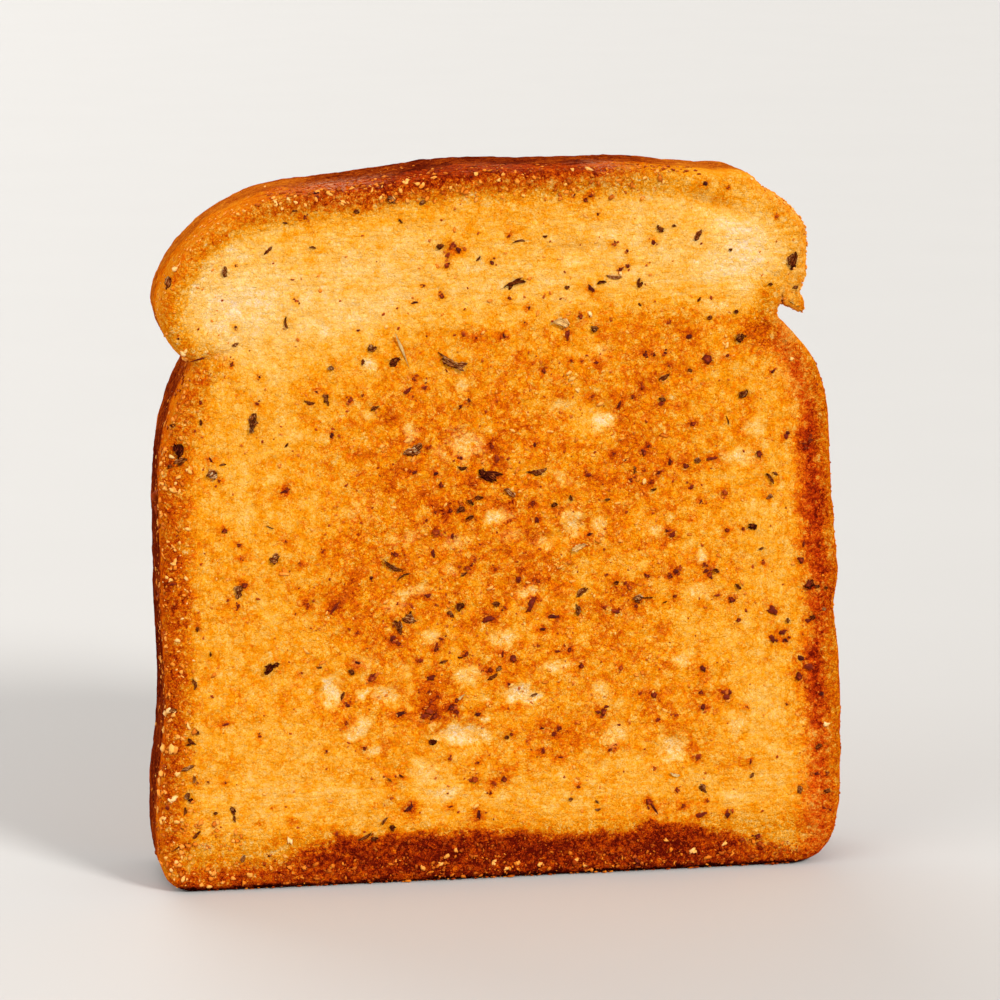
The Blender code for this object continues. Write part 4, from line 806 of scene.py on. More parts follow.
def distance_to(ring, x, z, chunk=4000):
    """From each point to the nearest point of the ring."""
    found = np.empty(len(x))
    for start in range(0, len(x), chunk):
        part = slice(start, start + chunk)
        dx = x[part, None] - ring[None, :, 0]
        dz = z[part, None] - ring[None, :, 1]
        found[part] = np.sqrt((dx * dx + dz * dz).min(1))
    return found


def grid_inside(ring, step):
    """A staggered grid of points inside the ring, clear of it."""
    low, high = ring.min(0), ring.max(0)
    row_height = step * math.sqrt(3) / 2
    rows = []
    for k in range(1, int((high[1] - low[1]) / row_height) + 1):
        xs = np.arange(low[0] + (step / 2 if k % 2 else 0.0), high[0], step)
        rows.append(np.stack([xs, np.full(len(xs), low[1] + k * row_height)], 1))
    points = np.concatenate(rows)
    points = points[inside_ring(ring, points[:, 0], points[:, 1])]
    return points[distance_to(ring, points[:, 0], points[:, 1]) > RING_CLEARANCE * step]


def cap_faces(ring, fill, side):
    """Triangles over a ring and the points inside it, as numbers into both, facing the given side."""
    points = np.concatenate([ring, fill])
    edges = [(k, (k + 1) % len(ring)) for k in range(len(ring))]
    _, _, faces, origins, _, _ = delaunay_2d_cdt([Vector(p) for p in points.tolist()], edges, [], 1, 1e-6)
    number = [origin[0] for origin in origins]
    triangles = np.array([[number[k] for k in face] for face in faces])
    a, b, c = (points[triangles[:, k]] for k in range(3))
    turn = (b[:, 0] - a[:, 0]) * (c[:, 1] - a[:, 1]) - (b[:, 1] - a[:, 1]) * (c[:, 0] - a[:, 0])
    flip = side * turn > 0
    triangles[flip] = triangles[flip][:, [0, 2, 1]]
    return triangles


def rim_and_side(ring, radii, normals):
    """Rows of points from the front face's rim to the back's: the points, their crust and their inset."""
    count = len(ring)
    turns = [math.pi / 2 * k / RIM_TURNS for k in range(RIM_TURNS + 1)]
    rows = [(radii * (1 - math.cos(a)) - HALF, radii * (1 - math.sin(a)), math.sin(a), -1) for a in turns]
    for k in range(1, SIDE_ROWS):
        rows.append(((2 * k / SIDE_ROWS - 1) * (HALF - radii), np.zeros(count), 1.0, 0))
    rows += [(-depth, inset, crusty, 1) for depth, inset, crusty, _ in rows[RIM_TURNS::-1]]
    lift = np.minimum(1.0, ring[:, 1] / RIM_RADIUS)
    points, crust, inward = [], [], []
    for depth, inset, crusty, side in rows:
        at = np.stack([ring[:, 0], depth, ring[:, 1]], 1)
        rough = layered(at, SIDE_RELIEF) * (0.7 + 1.5 * math.sin(math.pi * crusty))
        rough *= 1 + ellipses(ring[:, 0], ring[:, 1], TORN)
        swell = SIDE_WAVE * noise_at(at, WAVE_LENGTH)
        place = ring + normals * ((swell + rough) * lift - inset)[:, None]
        y = depth.copy()
        if side:
            y -= side * relief(place[:, 0], place[:, 1], side > 0) * (1 - crusty)
        points.append(np.stack([place[:, 0], y, place[:, 1]], 1))
        crust.append(np.full(count, crusty))
        inward.append(inset)
    return points, crust, inward


def toast_slice(draw):
    """Points, faces and fields of the whole slice, one closed mesh."""
    ring, radii, normals = outline()
    count = len(ring)
    points, crust, inward = rim_and_side(ring, radii, normals)
    faces = []
    around = np.arange(count)
    after = np.roll(around, -1)
    total = len(points) * count
    for front in range(0, total - count, count):
        back = front + count
        quads = np.stack([front + around, back + around, back + after, front + after], 1)
        faces += [quads[:, [0, 1, 2]], quads[:, [0, 2, 3]]]
    rims = (-1, FRONT_STEP, 0, points[0][:, [0, 2]]), (1, BACK_STEP, total - count, points[-1][:, [0, 2]])
    for side, step, first, rim in rims:
        fill = grid_inside(rim, step)
        numbers = np.concatenate([np.arange(first, first + count), np.arange(total, total + len(fill))])
        faces.append(numbers[cap_faces(rim, fill, side)])
        y = side * (HALF - relief(fill[:, 0], fill[:, 1], side > 0))
        points.append(np.stack([fill[:, 0], y, fill[:, 1]], 1))
        crust.append(np.zeros(len(fill)))
        inward.append(distance_to(ring, fill[:, 0], fill[:, 1]))
        total += len(fill)
    points, crust, inward = np.concatenate(points), np.concatenate(crust), np.concatenate(inward)
    fields = slice_fields(points, crust, inward, draw)
    points = np.clip(points + CENTRING, BOX_LOW + BOX_MARGIN, BOX_HIGH - BOX_MARGIN)
    points[:, 2] = np.where(points[:, 2] < 2 * BOX_MARGIN, 0.0, points[:, 2])
    return points, np.concatenate(faces), fields


def slice_fields(points, crust, inward, draw):
    """The fields that the toast's material reads."""
    x, y, z = points.T
    skin = step_up(crust, 0.5, 1.0)
    front, fried, bubble = front_browning(x, z, inward)
    back = back_browning(x, z, inward, draw)
    rear = np.where(crust > 0.5, step_up(y + layered(points, BACK_START), -5.0, 6.0), y > 0)
    face = front + (back - front) * rear

    depth = y + HALF + layered(points, CRUST_START)
    reach = CRUST_DEPTH + ellipses(x, z, CRUST_DEPTHS)
    blur = CRUST_BLUR + ellipses(x, z, CRUST_BLURS)
    share = step_up(depth, reach - blur, reach + 0.4 * blur)
    sunk = HALF - np.abs(y) + 1.2 * noise_at(points, 2.6, 91.0)
    share *= step_up(sunk, 0.4 * CRUST_DEPTH_BACK, CRUST_DEPTH_BACK) * (crust > 0)
    baked = CRUST_BROWNING + ellipses(x, z, CRUST_PATCHES) + layered(points, CRUST_MOTTLE)
    browning = face + (baked - face) * share
    scorched = ellipses(x, z, SCORCHED) * step_up(crust, 0.15, 0.7) * (1 - share)
    browning += scorched * (1 + 0.8 * noise_at(points, 2.2, 95.0))
    # Painted contact shadow: the lowest millimetre takes the darkest crust colour where the slice meets the
    # floor
    foot = 1 - step_up(z + 0.8 * noise_at(points, 1.5, 93.0), 0.4, 1.3)
    share = np.maximum(share, foot)
    browning = browned_to(browning, 1.0, foot)

    flush = step_up(inward, *STREAKS_INWARD)
    upright = flush * step_up(np.abs(x), *UPRIGHT_OUTWARD)
    upright *= step_up(z, *UPRIGHT_FOOT) * (1 - step_up(z, *UPRIGHT_TOP))
    level = flush * np.maximum(step_up(z, *LEVEL_TOP), 1 - step_up(z, *LEVEL_FOOT))
    rim = (1 - np.minimum(step_up(inward, *ROUGH_INWARD), step_up(z, *ROUGH_FOOT))) * (1 - share)
    along_crown = step_up(x, *ROUGHER_FROM) * (1 - step_up(x, *ROUGHER_TO))
    rim *= 1 + ROUGHER * step_up(z, *ROUGHER_TOP) * along_crown
    rim *= 1 - SMOOTHER * step_up(x, *SMOOTHER_FROM) * step_up(z, *SMOOTHER_TOP)
    butter_and_painted_sheen = np.clip(ellipses(x, z, BUTTER_AND_PAINTED_SHEEN), 0, 1) * skin * (1 - step_up(y + CENTRING[1], -4, 4))
    return {
        "browning": browning, "crust": share, "upright": upright, "level": level, "rim": rim,
        "butter_and_painted_sheen": butter_and_painted_sheen, "fried": fried * (1 - rear), "bubble": bubble * (y < 0), "skin": skin,
    }


def new_piece(name, points, faces, fields, material):
    """An object from points in millimetres, with a number for each point in each field."""
    data = bpy.data.meshes.new(name)
    data.from_pydata((points * MM).tolist(), [], faces.tolist())
    for field, values in fields.items():
        attribute = data.attributes.new(field, "FLOAT", "POINT")
        attribute.data.foreach_set("value", np.asarray(values, np.float32))
    data.shade_smooth()
    data.materials.append(material)
    piece = bpy.data.objects.new(name, data)
    bpy.context.scene.collection.objects.link(piece)
    return piece


# Materials


class Nodes:
    """Short names for building a material from nodes, with its sizes in millimetres."""

    def __init__(self, name):
        self.material = bpy.data.materials.new(name)
        self.material.use_nodes = True
        self.tree = self.material.node_tree
        self.shader = self.tree.nodes["Principled BSDF"]
        position = self.add("ShaderNodeTexCoord").outputs["Object"]
        self.place = self.scaled(position, (1 / MM, 1 / MM, 1 / MM))

    def add(self, kind, **settings):
        node = self.tree.nodes.new(kind)
        for setting, value in settings.items():
            setattr(node, setting, value)
        return node

    def put(self, socket, value):
        """A number, a colour or another node's output into a socket."""
        if isinstance(value, bpy.types.NodeSocket):
            self.tree.links.new(value, socket)
        else:
            socket.default_value = value

    def filled(self, node, *values):
        """The node, with the values put into its first sockets."""
        for socket, value in zip(node.inputs, values):
            self.put(socket, value)
        return node

    def scaled(self, vector, scale):
        node = self.add("ShaderNodeMapping")
        self.put(node.inputs["Vector"], vector)
        self.put(node.inputs["Scale"], scale)
        return node.outputs["Vector"]

    def field(self, name):
        return self.add("ShaderNodeAttribute", attribute_name=name).outputs["Fac"]

    def maths(self, operation, *values):
        return self.filled(self.add("ShaderNodeMath", operation=operation), *values).outputs[0]

    def vectors(self, operation, *values):
        return self.filled(self.add("ShaderNodeVectorMath", operation=operation), *values).outputs["Vector"]

    def sum(self, first, *rest):
        for value in rest:
            first = self.maths("ADD", first, value)
        return first

    def times(self, first, *rest):
        for value in rest:
            first = self.maths("MULTIPLY", first, value)
        return first

    def between(self, value, low, high, new_low=0.0, new_high=1.0):
        """The value moved from the range low to high into the new range, and kept inside it."""
        node = self.filled(self.add("ShaderNodeMapRange"), value, low, high, new_low, new_high)
        return node.outputs["Result"]

    def texture(self, kind, size, vector=None, **settings):
        node = self.add(kind, **settings)
        self.put(node.inputs["Vector"], vector or self.place)
        self.put(node.inputs["Scale"], 1 / size)
        return node

    def noise(self, size, detail=2.0, roughness=0.5, distortion=0.0, vector=None):
        """Noise from -0.5 to 0.5, with bumps of the given size."""
        node = self.texture("ShaderNodeTexNoise", size, vector)
        self.put(node.inputs["Detail"], detail)
        self.put(node.inputs["Roughness"], roughness)
        self.put(node.inputs["Distortion"], distortion)
        return self.maths("SUBTRACT", node.outputs["Fac"], 0.5)

    def lines(self, width, *noise):
        """Thin winding lines through noise: 1 on a line, and 0 from the given width off it."""
        return self.between(self.maths("ABSOLUTE", self.noise(*noise)), 0.0, width, 1.0, 0.0)

    def nudged(self, size, reach):
        """The places pushed about by up to the given reach, over bumps of the given size."""
        pushes = self.texture("ShaderNodeTexNoise", size).outputs["Color"]
        centred = self.vectors("SUBTRACT", pushes, (0.5, 0.5, 0.5))
        return self.vectors("MULTIPLY_ADD", centred, (2 * reach, 2 * reach, 2 * reach), self.place)

    def cells(self, size, width, nudge, push):
        """Winding cells: 0 at their edges and 1 from the given width in, and a random tone for each."""
        place = self.nudged(nudge, push)
        edges = self.texture("ShaderNodeTexVoronoi", size, place, feature="DISTANCE_TO_EDGE")
        tones = self.texture("ShaderNodeTexVoronoi", size, place)
        inside = self.between(edges.outputs["Distance"], *width)
        return inside, self.maths("SUBTRACT", tones.outputs["Color"], 0.5)

    def ramp(self, value, rows):
        """A colour for each value, from rows of value, red, green and blue as seen under the light."""
        node = self.add("ShaderNodeValToRGB")
        elements = node.color_ramp.elements
        elements.remove(elements[-1])
        elements[0].position = rows[0][0]
        elements[0].color = linear(*rows[0][1:])
        for place, *colour in rows[1:]:
            elements.new(place).color = linear(*colour)
        self.put(node.inputs["Fac"], value)
        return node.outputs["Color"]

    def mixed(self, share, first, second):
        """Two colours mixed: the first where share is 0, the second where it is 1."""
        node = self.add("ShaderNodeMix", data_type="RGBA", clamp_factor=True)
        for number, value in ((0, share), (6, first), (7, second)):
            self.put(node.inputs[number], value)
        return node.outputs[2]

    def bump(self, height, distance):
        node = self.add("ShaderNodeBump")
        self.put(node.inputs["Distance"], distance * MM)
        self.put(node.inputs["Height"], height)
        self.put(self.shader.inputs["Normal"], node.outputs["Normal"])

    def finish(self, colour, roughness, **sockets):
        for name, value in {"Base Color": colour, "Roughness": roughness, **sockets}.items():
            self.put(self.shader.inputs[name.replace("_", " ")], value)
        return self.material


def toast_material():
    nodes = Nodes("toast")
    browning, crust, rim, bubble = (nodes.field(name) for name in ("browning", "crust", "rim", "bubble"))
    browned = nodes.between(browning, 0.22, 0.55)

    grains = nodes.noise(0.95, 2.0, 0.6, 0.8)
    worms = nodes.noise(0.42, 2.0, 0.7, 1.4)
    clusters = nodes.noise(2.4, 5.0, 0.75)
    scorched = nodes.between(clusters, 0.03, 0.17)
    flecks = nodes.between(nodes.noise(1.9, 4.0, 0.72), 0.05, 0.14)
    veins = nodes.times(nodes.lines(0.035, 2.4, 3.0, 0.65, 0.8), nodes.between(clusters, -0.12, 0.06))
    curls = nodes.maths("SUBTRACT", nodes.lines(0.05, 0.85, 2.0, 0.6, 1.0), 0.2)
    gleams = nodes.maths("SUBTRACT", nodes.lines(0.035, 1.15, 2.0, 0.6, 1.4), 0.15)
    crumb, crumb_tones = nodes.cells(1.7, (0.02, 0.26), 1.6, 0.9)
    crumb = nodes.maths("SUBTRACT", crumb, 0.5)
    holes, hole_tones = nodes.cells(4.6, (0.05, 0.42), 3.0, 1.6)
    streaks = nodes.sum(*(
        nodes.times(nodes.noise(0.6, 2.0, 0.6, 0.0, nodes.scaled(nodes.place, scale)), nodes.field(name))
        for name, scale in (("upright", (1.0, 1.0, 0.16)), ("level", (0.16, 1.0, 1.0)))
    ))

    # How much each pattern darkens the toast where it is pale, and where it is browned
    patterns = [
        (clusters, 0.05, 0.12), (grains, 0.24, 0.60), (worms, 0.36, 0.80), (crumb, -0.04, -0.16),
        (crumb_tones, 0.05, 0.16), (curls, 0.03, 0.12), (gleams, -0.04, -0.10), (scorched, 0.02, 0.12),
        (flecks, -0.07, -0.22), (veins, 0.02, 0.26), (holes, -0.02, -0.09), (hole_tones, 0.02, 0.09),
    ]
    strengths = [nodes.between(browned, 0, 1, pale, brown) for _, pale, brown in patterns]
    uneven = nodes.sum(
        *(nodes.times(pattern[0], strength) for pattern, strength in zip(patterns, strengths)),
        nodes.times(nodes.sum(worms, grains), rim, 0.26),
        nodes.times(nodes.sum(worms, grains), bubble, 0.55),
        nodes.times(streaks, 0.26),
        nodes.between(browned, 0, 1, 0.05, 0.0),
    )
    calm = nodes.between(nodes.field("skin"), 0, 1, 1.0, 0.6)
    tone_and_highlight = nodes.sum(browning, nodes.times(uneven, calm))

    ramps = (TOAST_COLOURS, FRIED_COLOURS, CRUST_COLOURS)
    toasted, fried, baked = (nodes.ramp(tone_and_highlight, rows) for rows in ramps)
    colour = nodes.mixed(nodes.field("fried"), toasted, fried)
    share = nodes.between(nodes.sum(crust, nodes.times(grains, 0.5)), 0.30, 0.75)
    colour = nodes.mixed(share, colour, baked)
    # Pale crinkles: partly the crumb's own pale grain, partly painted glints of its buttery gloss
    crinkles_and_glints = nodes.times(
        nodes.lines(0.045, 0.75, 2.0, 0.55, 1.6),
        nodes.between(nodes.noise(1.6, 3.0, 0.6), -0.04, 0.12, 0.0, 0.62),
        nodes.between(crust, 0.0, 0.5, 1.0, 0.0),
        nodes.between(tone_and_highlight, 0.32, 0.54, 1.0, 0.06),
        nodes.between(rim, 0.0, 0.6, 1.0, 0.15),
    )
    colour = nodes.mixed(crinkles_and_glints, colour, linear(*CRINKLE_AND_GLINT_COLOUR))
    creamy = nodes.times(bubble, nodes.between(nodes.noise(0.8, 2.0), -0.2, 0.2, 0.0, 0.32))
    colour = nodes.mixed(creamy, colour, linear(*BUBBLE_COLOUR))
    # Painted sheen on the buttered crust: a pale pinkish highlight colour mixed in along wrinkles, beside a
    # little coat
    wrinkles = nodes.between(nodes.noise(0.7, 3.0, 0.65, 1.2), 0.0, 0.07)
    gloss_and_painted_sheen = nodes.times(nodes.field("butter_and_painted_sheen"), wrinkles, 0.8)
    colour = nodes.mixed(gloss_and_painted_sheen, colour, linear(*PAINTED_SHEEN_COLOUR))

    heights = [
        (grains, 1.0), (worms, 0.8), (streaks, 0.5), (veins, -0.12), (curls, -0.16), (gleams, 0.12),
        (crumb, 0.16), (holes, 0.2),
    ]
    height = nodes.sum(*(nodes.times(pattern, strength) for pattern, strength in heights))
    coarse = nodes.sum(nodes.times(rim, 0.35), nodes.times(crust, 0.4), 0.5, nodes.times(browned, 0.25))
    nodes.bump(nodes.times(height, coarse, calm), 0.7)
    greasy = nodes.times(
        nodes.between(nodes.noise(1.3, 2.0, 0.6), 0.08, 0.19, 0.0, 0.18),
        nodes.between(nodes.sum(crust, rim), 0.0, 0.6, 1.0, 0.0),
        nodes.between(tone_and_highlight, 0.32, 0.5, 1.0, 0.0),
    )
    coat = nodes.sum(greasy, nodes.times(gloss_and_painted_sheen, 0.14))
    roughness = nodes.sum(nodes.between(crust, 0, 1, 0.60, 0.55), nodes.times(grains, 0.5))
    return nodes.finish(colour, roughness, Specular_IOR_Level=0.0, Coat_Weight=coat, Coat_Roughness=0.25)


def leaf_material():
    nodes = Nodes("herb_flakes")
    veins = nodes.maths("SINE", nodes.times(nodes.field("across"), 9.0))
    # The strong mottle takes a leaf to its palest colours: partly paler bits of leaf, partly painted
    # highlights
    mottle = nodes.times(nodes.noise(0.5, 3.0), 1.1)
    value = nodes.sum(nodes.field("shade"), nodes.times(veins, 0.20), mottle)
    nodes.bump(nodes.sum(nodes.times(veins, 0.3), nodes.noise(0.3, 2.0)), 0.15)
    return nodes.finish(nodes.ramp(value, LEAF_COLOURS), 0.5, Specular_IOR_Level=0.02)


def straw_material():
    nodes = Nodes("pale_straws")
    stripes = nodes.maths("SINE", nodes.times(nodes.field("across"), 12.0))
    mottle = nodes.times(nodes.noise(0.5, 2.0), 0.3)
    value = nodes.sum(nodes.field("shade"), nodes.times(stripes, 0.16), mottle)
    nodes.bump(nodes.times(stripes, 0.3), 0.12)
    return nodes.finish(nodes.ramp(value, STRAW_COLOURS), 0.5)


def grain_material(name, colours, mottle_size, mottle, relief_height, roughness, shine):
    """The look of specks or crumbs, mottled in their own colours."""
    nodes = Nodes(name)
    value = nodes.sum(nodes.field("shade"), nodes.times(nodes.noise(mottle_size, 3.0), mottle))
    nodes.bump(nodes.noise(0.25, 2.0), relief_height)
    return nodes.finish(nodes.ramp(value, colours), roughness, Specular_IOR_Level=shine)


# Loose things on the slice


class Pile:
    """Many small shapes gathered in one mesh, with fields over its points."""

    def __init__(self, *fields):
        self.points, self.faces, self.count = [], [], 0
        self.fields = {name: [] for name in fields}

    def put(self, points, faces, **fields):
        self.points.append(np.clip(points, BOX_LOW + BOX_MARGIN, BOX_HIGH - BOX_MARGIN))
        self.faces.append(np.asarray(faces) + self.count)
        self.count += len(points)
        for name, values in fields.items():
            self.fields[name].append(np.broadcast_to(values, len(points)))

    def piece(self, name, material):
        fields = {field: np.concatenate(values) for field, values in self.fields.items()}
        piece = new_piece(name, np.concatenate(self.points), np.concatenate(self.faces), fields, material)
        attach(piece, "root")


class Surface:
    """The slice's own surface, to set things on."""

    def __init__(self, points, faces):
        self.tree = BVHTree.FromPolygons(points.tolist(), faces.tolist())

    def at(self, x, z, side=-1):
        """The point and normal of a cut face, or of the rim where x and z are off the face."""
        start = Vector((x, side * 3 * HALF, z))
        place, normal, _, _ = self.tree.ray_cast(start, Vector((0, -side, 0)))
        if place is None:
            return self.near((x, side * HALF, z))
        return np.array(place), np.array(normal)

    def near(self, point):
        """The point and normal of the surface nearest to the given point."""
        place, normal, _, _ = self.tree.find_nearest(Vector(point))
        return np.array(place), np.array(normal)


def axes(normal, turn, side=-1):
    """Directions along, across and up from a surface, for a thing turned anticlockwise on it."""
    c, s = math.cos(math.radians(turn)), math.sin(math.radians(turn))
    along = np.array([-side * c, 0.0, s])
    if abs(normal[1]) < 0.5:
        inwards = np.array([0.0, 1.0, 0.0])
        along = np.cross(normal, inwards) * c + inwards * s
    along = unit(along - normal * along.dot(normal))
    return along, np.cross(normal, along), normal


def placed(local, place, directions):
    """Points given along, across and up from a place, as points of the slice."""
    return place + sum(local[:, k:k + 1] * direction for k, direction in enumerate(directions))


# A leaf's points along and across it, and how it tilts, leans, tears, sways, curls and bends
LEAF_ROWS = 9
LEAF_COLUMNS = 5
LEAF_TILT = (-0.2, 0.2)
LEAF_LEAN = (-0.35, 0.35)
LEAF_TEAR = (-0.2, 0.2)
LEAF_SWAY = (-0.14, 0.14)
LEAF_CURL = (-0.12, 0.45)
LEAF_BEND = (-0.03, 0.05)
# A wide leaf is in shards, each so much shorter: two of them, or three where it is wider than WIDE_LEAF
SHARDS = (1.0, 0.72, 0.55)
NARROW_LEAF = 0.65
SHORT_LEAF = 1.0
WIDE_LEAF = 0.95
# A speck's points round it, its rings as shares of its radius, and how uneven it is
SPECK_SEGMENTS = 11
SPECK_RADII = (0.28, 0.55, 0.8, 1.0)
SPECK_LOBES = (0.55, 1.3)
SPECK_HEIGHTS = (0.8, 1.2)
TALLEST_SPECK = 0.55
# How a crumb's length and width vary, how it leans and how uneven it is
GRAIN_LENGTHS = (1.0, 1.35)
GRAIN_WIDTHS = (0.75, 1.0)
GRAIN_LEAN = (-0.2, 0.2)
GRAIN_LOBES = (0.55, 1.3)


def sheet_faces(rows, columns):
    """Triangles of a closed thin sheet: a grid of points above and the same grid below."""
    faces = []
    below = rows * columns
    for i in range(rows - 1):
        for j in range(columns - 1):
            a, b = i * columns + j, (i + 1) * columns + j
            faces += [(a, b, b + 1), (a, b + 1, a + 1)]
            faces += [(below + a, below + b + 1, below + b), (below + a, below + a + 1, below + b + 1)]
    edge = list(range(columns)) + [i * columns + columns - 1 for i in range(1, rows)]
    edge += [(rows - 1) * columns + j for j in range(columns - 2, -1, -1)]
    edge += [i * columns for i in range(rows - 2, 0, -1)]
    for a, b in zip(edge, edge[1:] + edge[:1]):
        faces += [(a, b, below + b), (a, below + b, below + a)]
    return faces


def dome_faces(segments, rings):
    """Triangles of a closed dome: a middle point, rings of points and a point under the middle."""
    faces = []
    for k in range(segments):
        after = (k + 1) % segments
        faces.append((0, 1 + k, 1 + after))
        for ring in range(rings - 1):
            a, b = 1 + ring * segments, 1 + (ring + 1) * segments
            faces += [(a + k, b + k, b + after), (a + k, b + after, a + after)]
        rim = 1 + (rings - 1) * segments
        faces.append((1 + rings * segments, rim + after, rim + k))
    return faces


def ball(detail):
    """Points and triangles of a round ball of radius 1."""
    mesh = bmesh.new()
    bmesh.ops.create_icosphere(mesh, subdivisions=detail, radius=1.0)
    points = np.array([tuple(v.co) for v in mesh.verts])
    faces = [[v.index for v in face.verts] for face in mesh.faces]
    mesh.free()
    return points, faces


LEAF_FACES = sheet_faces(LEAF_ROWS, LEAF_COLUMNS)
SPECK_FACES = dome_faces(SPECK_SEGMENTS, len(SPECK_RADII))
BALLS = {detail: ball(detail) for detail in (1, 2)}


def add_herb(pile, surface, row, draw, side=-1):
    """A bit of dry herb: one shard of leaf, or two or three over each other where it is wide."""
    x, z, length, width, turn, shade = row
    if width < NARROW_LEAF or length < SHORT_LEAF:
        add_leaf(pile, surface, row, draw, side)
        return
    c, s = math.cos(math.radians(turn)), math.sin(math.radians(turn))
    for k, part in enumerate(SHARDS[:3 if width > WIDE_LEAF else 2]):
        angle = turn + draw.uniform(-38, 38) * (0.5 if k == 0 else 1)
        away = draw.uniform(-0.22, 0.22) * length * (k > 0)
        aside = draw.uniform(-0.32, 0.32) * width
        spot = (x + away * c - aside * s, z + away * s + aside * c)
        shape = (length * part, width * draw.uniform(0.6, 0.85), angle)
        add_leaf(pile, surface, (*spot, *shape, shade + draw.uniform(-0.12, 0.25) * (k > 0)), draw, side)


def add_leaf(pile, surface, row, draw, side=-1):
    """A dry leaf: a thin sheet, pointed, bent along and curled across, torn at its rim."""
    x, z, length, width, turn, shade = row
    place, normal = surface.at(x, z, side)
    tilted = unit(normal + np.array([draw.uniform(*LEAF_TILT), side * 0.8, draw.uniform(*LEAF_TILT)]))
    t = np.linspace(-1, 1, LEAF_ROWS)[:, None]
    v = np.linspace(-1, 1, LEAF_COLUMNS)[None, :]
    blunt = draw.uniform(1.6, 3.2) if length < 2.2 * width else draw.uniform(1.8, 4.5)
    lean = draw.uniform(*LEAF_LEAN)
    half_width = 0.5 * width * (1 - np.abs(t) ** blunt * 0.92) * (1 + lean * t)
    torn = [draw.uniform(*LEAF_TEAR) * width for _ in range(LEAF_ROWS * LEAF_COLUMNS)]
    torn = np.array(torn).reshape(LEAF_ROWS, LEAF_COLUMNS)
    sway = draw.uniform(*LEAF_SWAY) * length
    along = 0.5 * length * t + 0.35 * torn
    across = half_width * v + sway * (1 - t * t) + torn * np.abs(v)
    curl = draw.uniform(*LEAF_CURL) * width
    bend = draw.uniform(*LEAF_BEND) * length
    up = 0.10 + 0.08 * width + curl * v * v + bend * t * t + 0.5 * torn
    over = np.stack([along.ravel(), across.ravel(), up.ravel()], 1)
    under = over - np.array([0, 0, 0.10 + 0.06 * width])
    points = placed(np.concatenate([over, under]), place, axes(tilted, turn, side))
    stripe = np.tile(v.ravel() * max(1.0, width), 2 * LEAF_ROWS)
    tint = np.tile(torn.ravel(), 2) * 0.8 / width + shade + draw.uniform(-0.06, 0.06)
    pile.put(points, LEAF_FACES, shade=tint, across=stripe)


def add_speck(pile, surface, row, draw, side=-1):
    """A burnt speck: a low uneven dome, or a ring with a sunken, paler middle, sunk a little in the
    surface.
    """
    x, z, length, width, turn, shade, hollow = row
    place, normal = surface.at(x, z, side)
    tilted = unit(normal + np.array([0, side * 0.5, 0]))
    lobes = [draw.uniform(*SPECK_LOBES) for _ in range(SPECK_SEGMENTS)]
    height = min(TALLEST_SPECK, 0.34 * width + 0.05) * draw.uniform(*SPECK_HEIGHTS)
    rows = [(0.0, 0.0, height * (0.35 if hollow else 1.0))]
    # A ring's paler middle: partly the speck's lighter centre, partly painted highlight
    tints = [shade + (0.55 if hollow else 0.0)]
    for radius in SPECK_RADII:
        tone_and_highlight = 0.45 * max(0.0, 1 - radius / 0.6) if hollow else 0.0
        dome = math.sqrt(max(0.0, 1 - radius**2))
        if hollow:
            dome = math.sin(math.pi * min(1.0, radius * 0.9 + 0.1)) ** 0.7 if radius < 1 else 0.0
        for k, lobe in enumerate(lobes):
            angle = 2 * math.pi * k / SPECK_SEGMENTS
            reach = 0.5 * radius * (1 + (lobe - 1) * radius)
            up = height * dome * draw.uniform(0.85, 1.15) - (0.06 if radius == 1.0 else 0.0)
            rows.append((length * reach * math.cos(angle), width * reach * math.sin(angle), up))
            tints.append(shade + tone_and_highlight + 0.14 * radius**2)
    rows.append((0.0, 0.0, -0.15))
    tints.append(shade)
    pile.put(placed(np.array(rows), place, axes(tilted, turn, side)), SPECK_FACES, shade=np.array(tints))


def add_grain(pile, place, normal, length, width, shade, draw, detail=2, flat=0.34):
    """A crumb: an uneven lump, set into the surface."""
    points, faces = BALLS[detail]
    length *= draw.uniform(*GRAIN_LENGTHS)
    width *= draw.uniform(*GRAIN_WIDTHS)
    lean = np.array([draw.uniform(*GRAIN_LEAN), draw.uniform(*GRAIN_LEAN), 0])
    points = points + lean * points[:, :1] ** 2
    rough = np.array([draw.uniform(*GRAIN_LOBES) for _ in points])
    phase = draw.uniform(0, 99)
    if detail > 1:
        rough = 1 + 0.7 * noise_at(points, 1.1, phase) + 0.5 * noise_at(points, 0.55, phase)
    tall = flat * width
    local = points * rough[:, None] * np.array([0.5 * length, 0.5 * width, tall])
    local[:, 2] += 0.45 * tall
    # Each crumb is browner towards its foot: partly butter soaked in, partly painted shade under its lit
    # top
    foot = 0.30 * np.clip(0.6 - points[:, 2], 0, 1.2)
    pile.put(placed(local, place, axes(normal, draw.uniform(0, 180))), faces, shade=shade + foot)


def add_seeded_grain(pile, place, normal, sizes_and_shades, draw):
    """A crumb between the given smallest and largest size, and palest and brownest shade."""
    small, large, palest, brownest = sizes_and_shades
    size = small + (large - small) * draw.random() ** 2.2
    shade = palest + (brownest - palest) * draw.random() ** 0.7
    add_grain(pile, place, normal, size * draw.uniform(1, 1.4), size, shade, draw, 1)


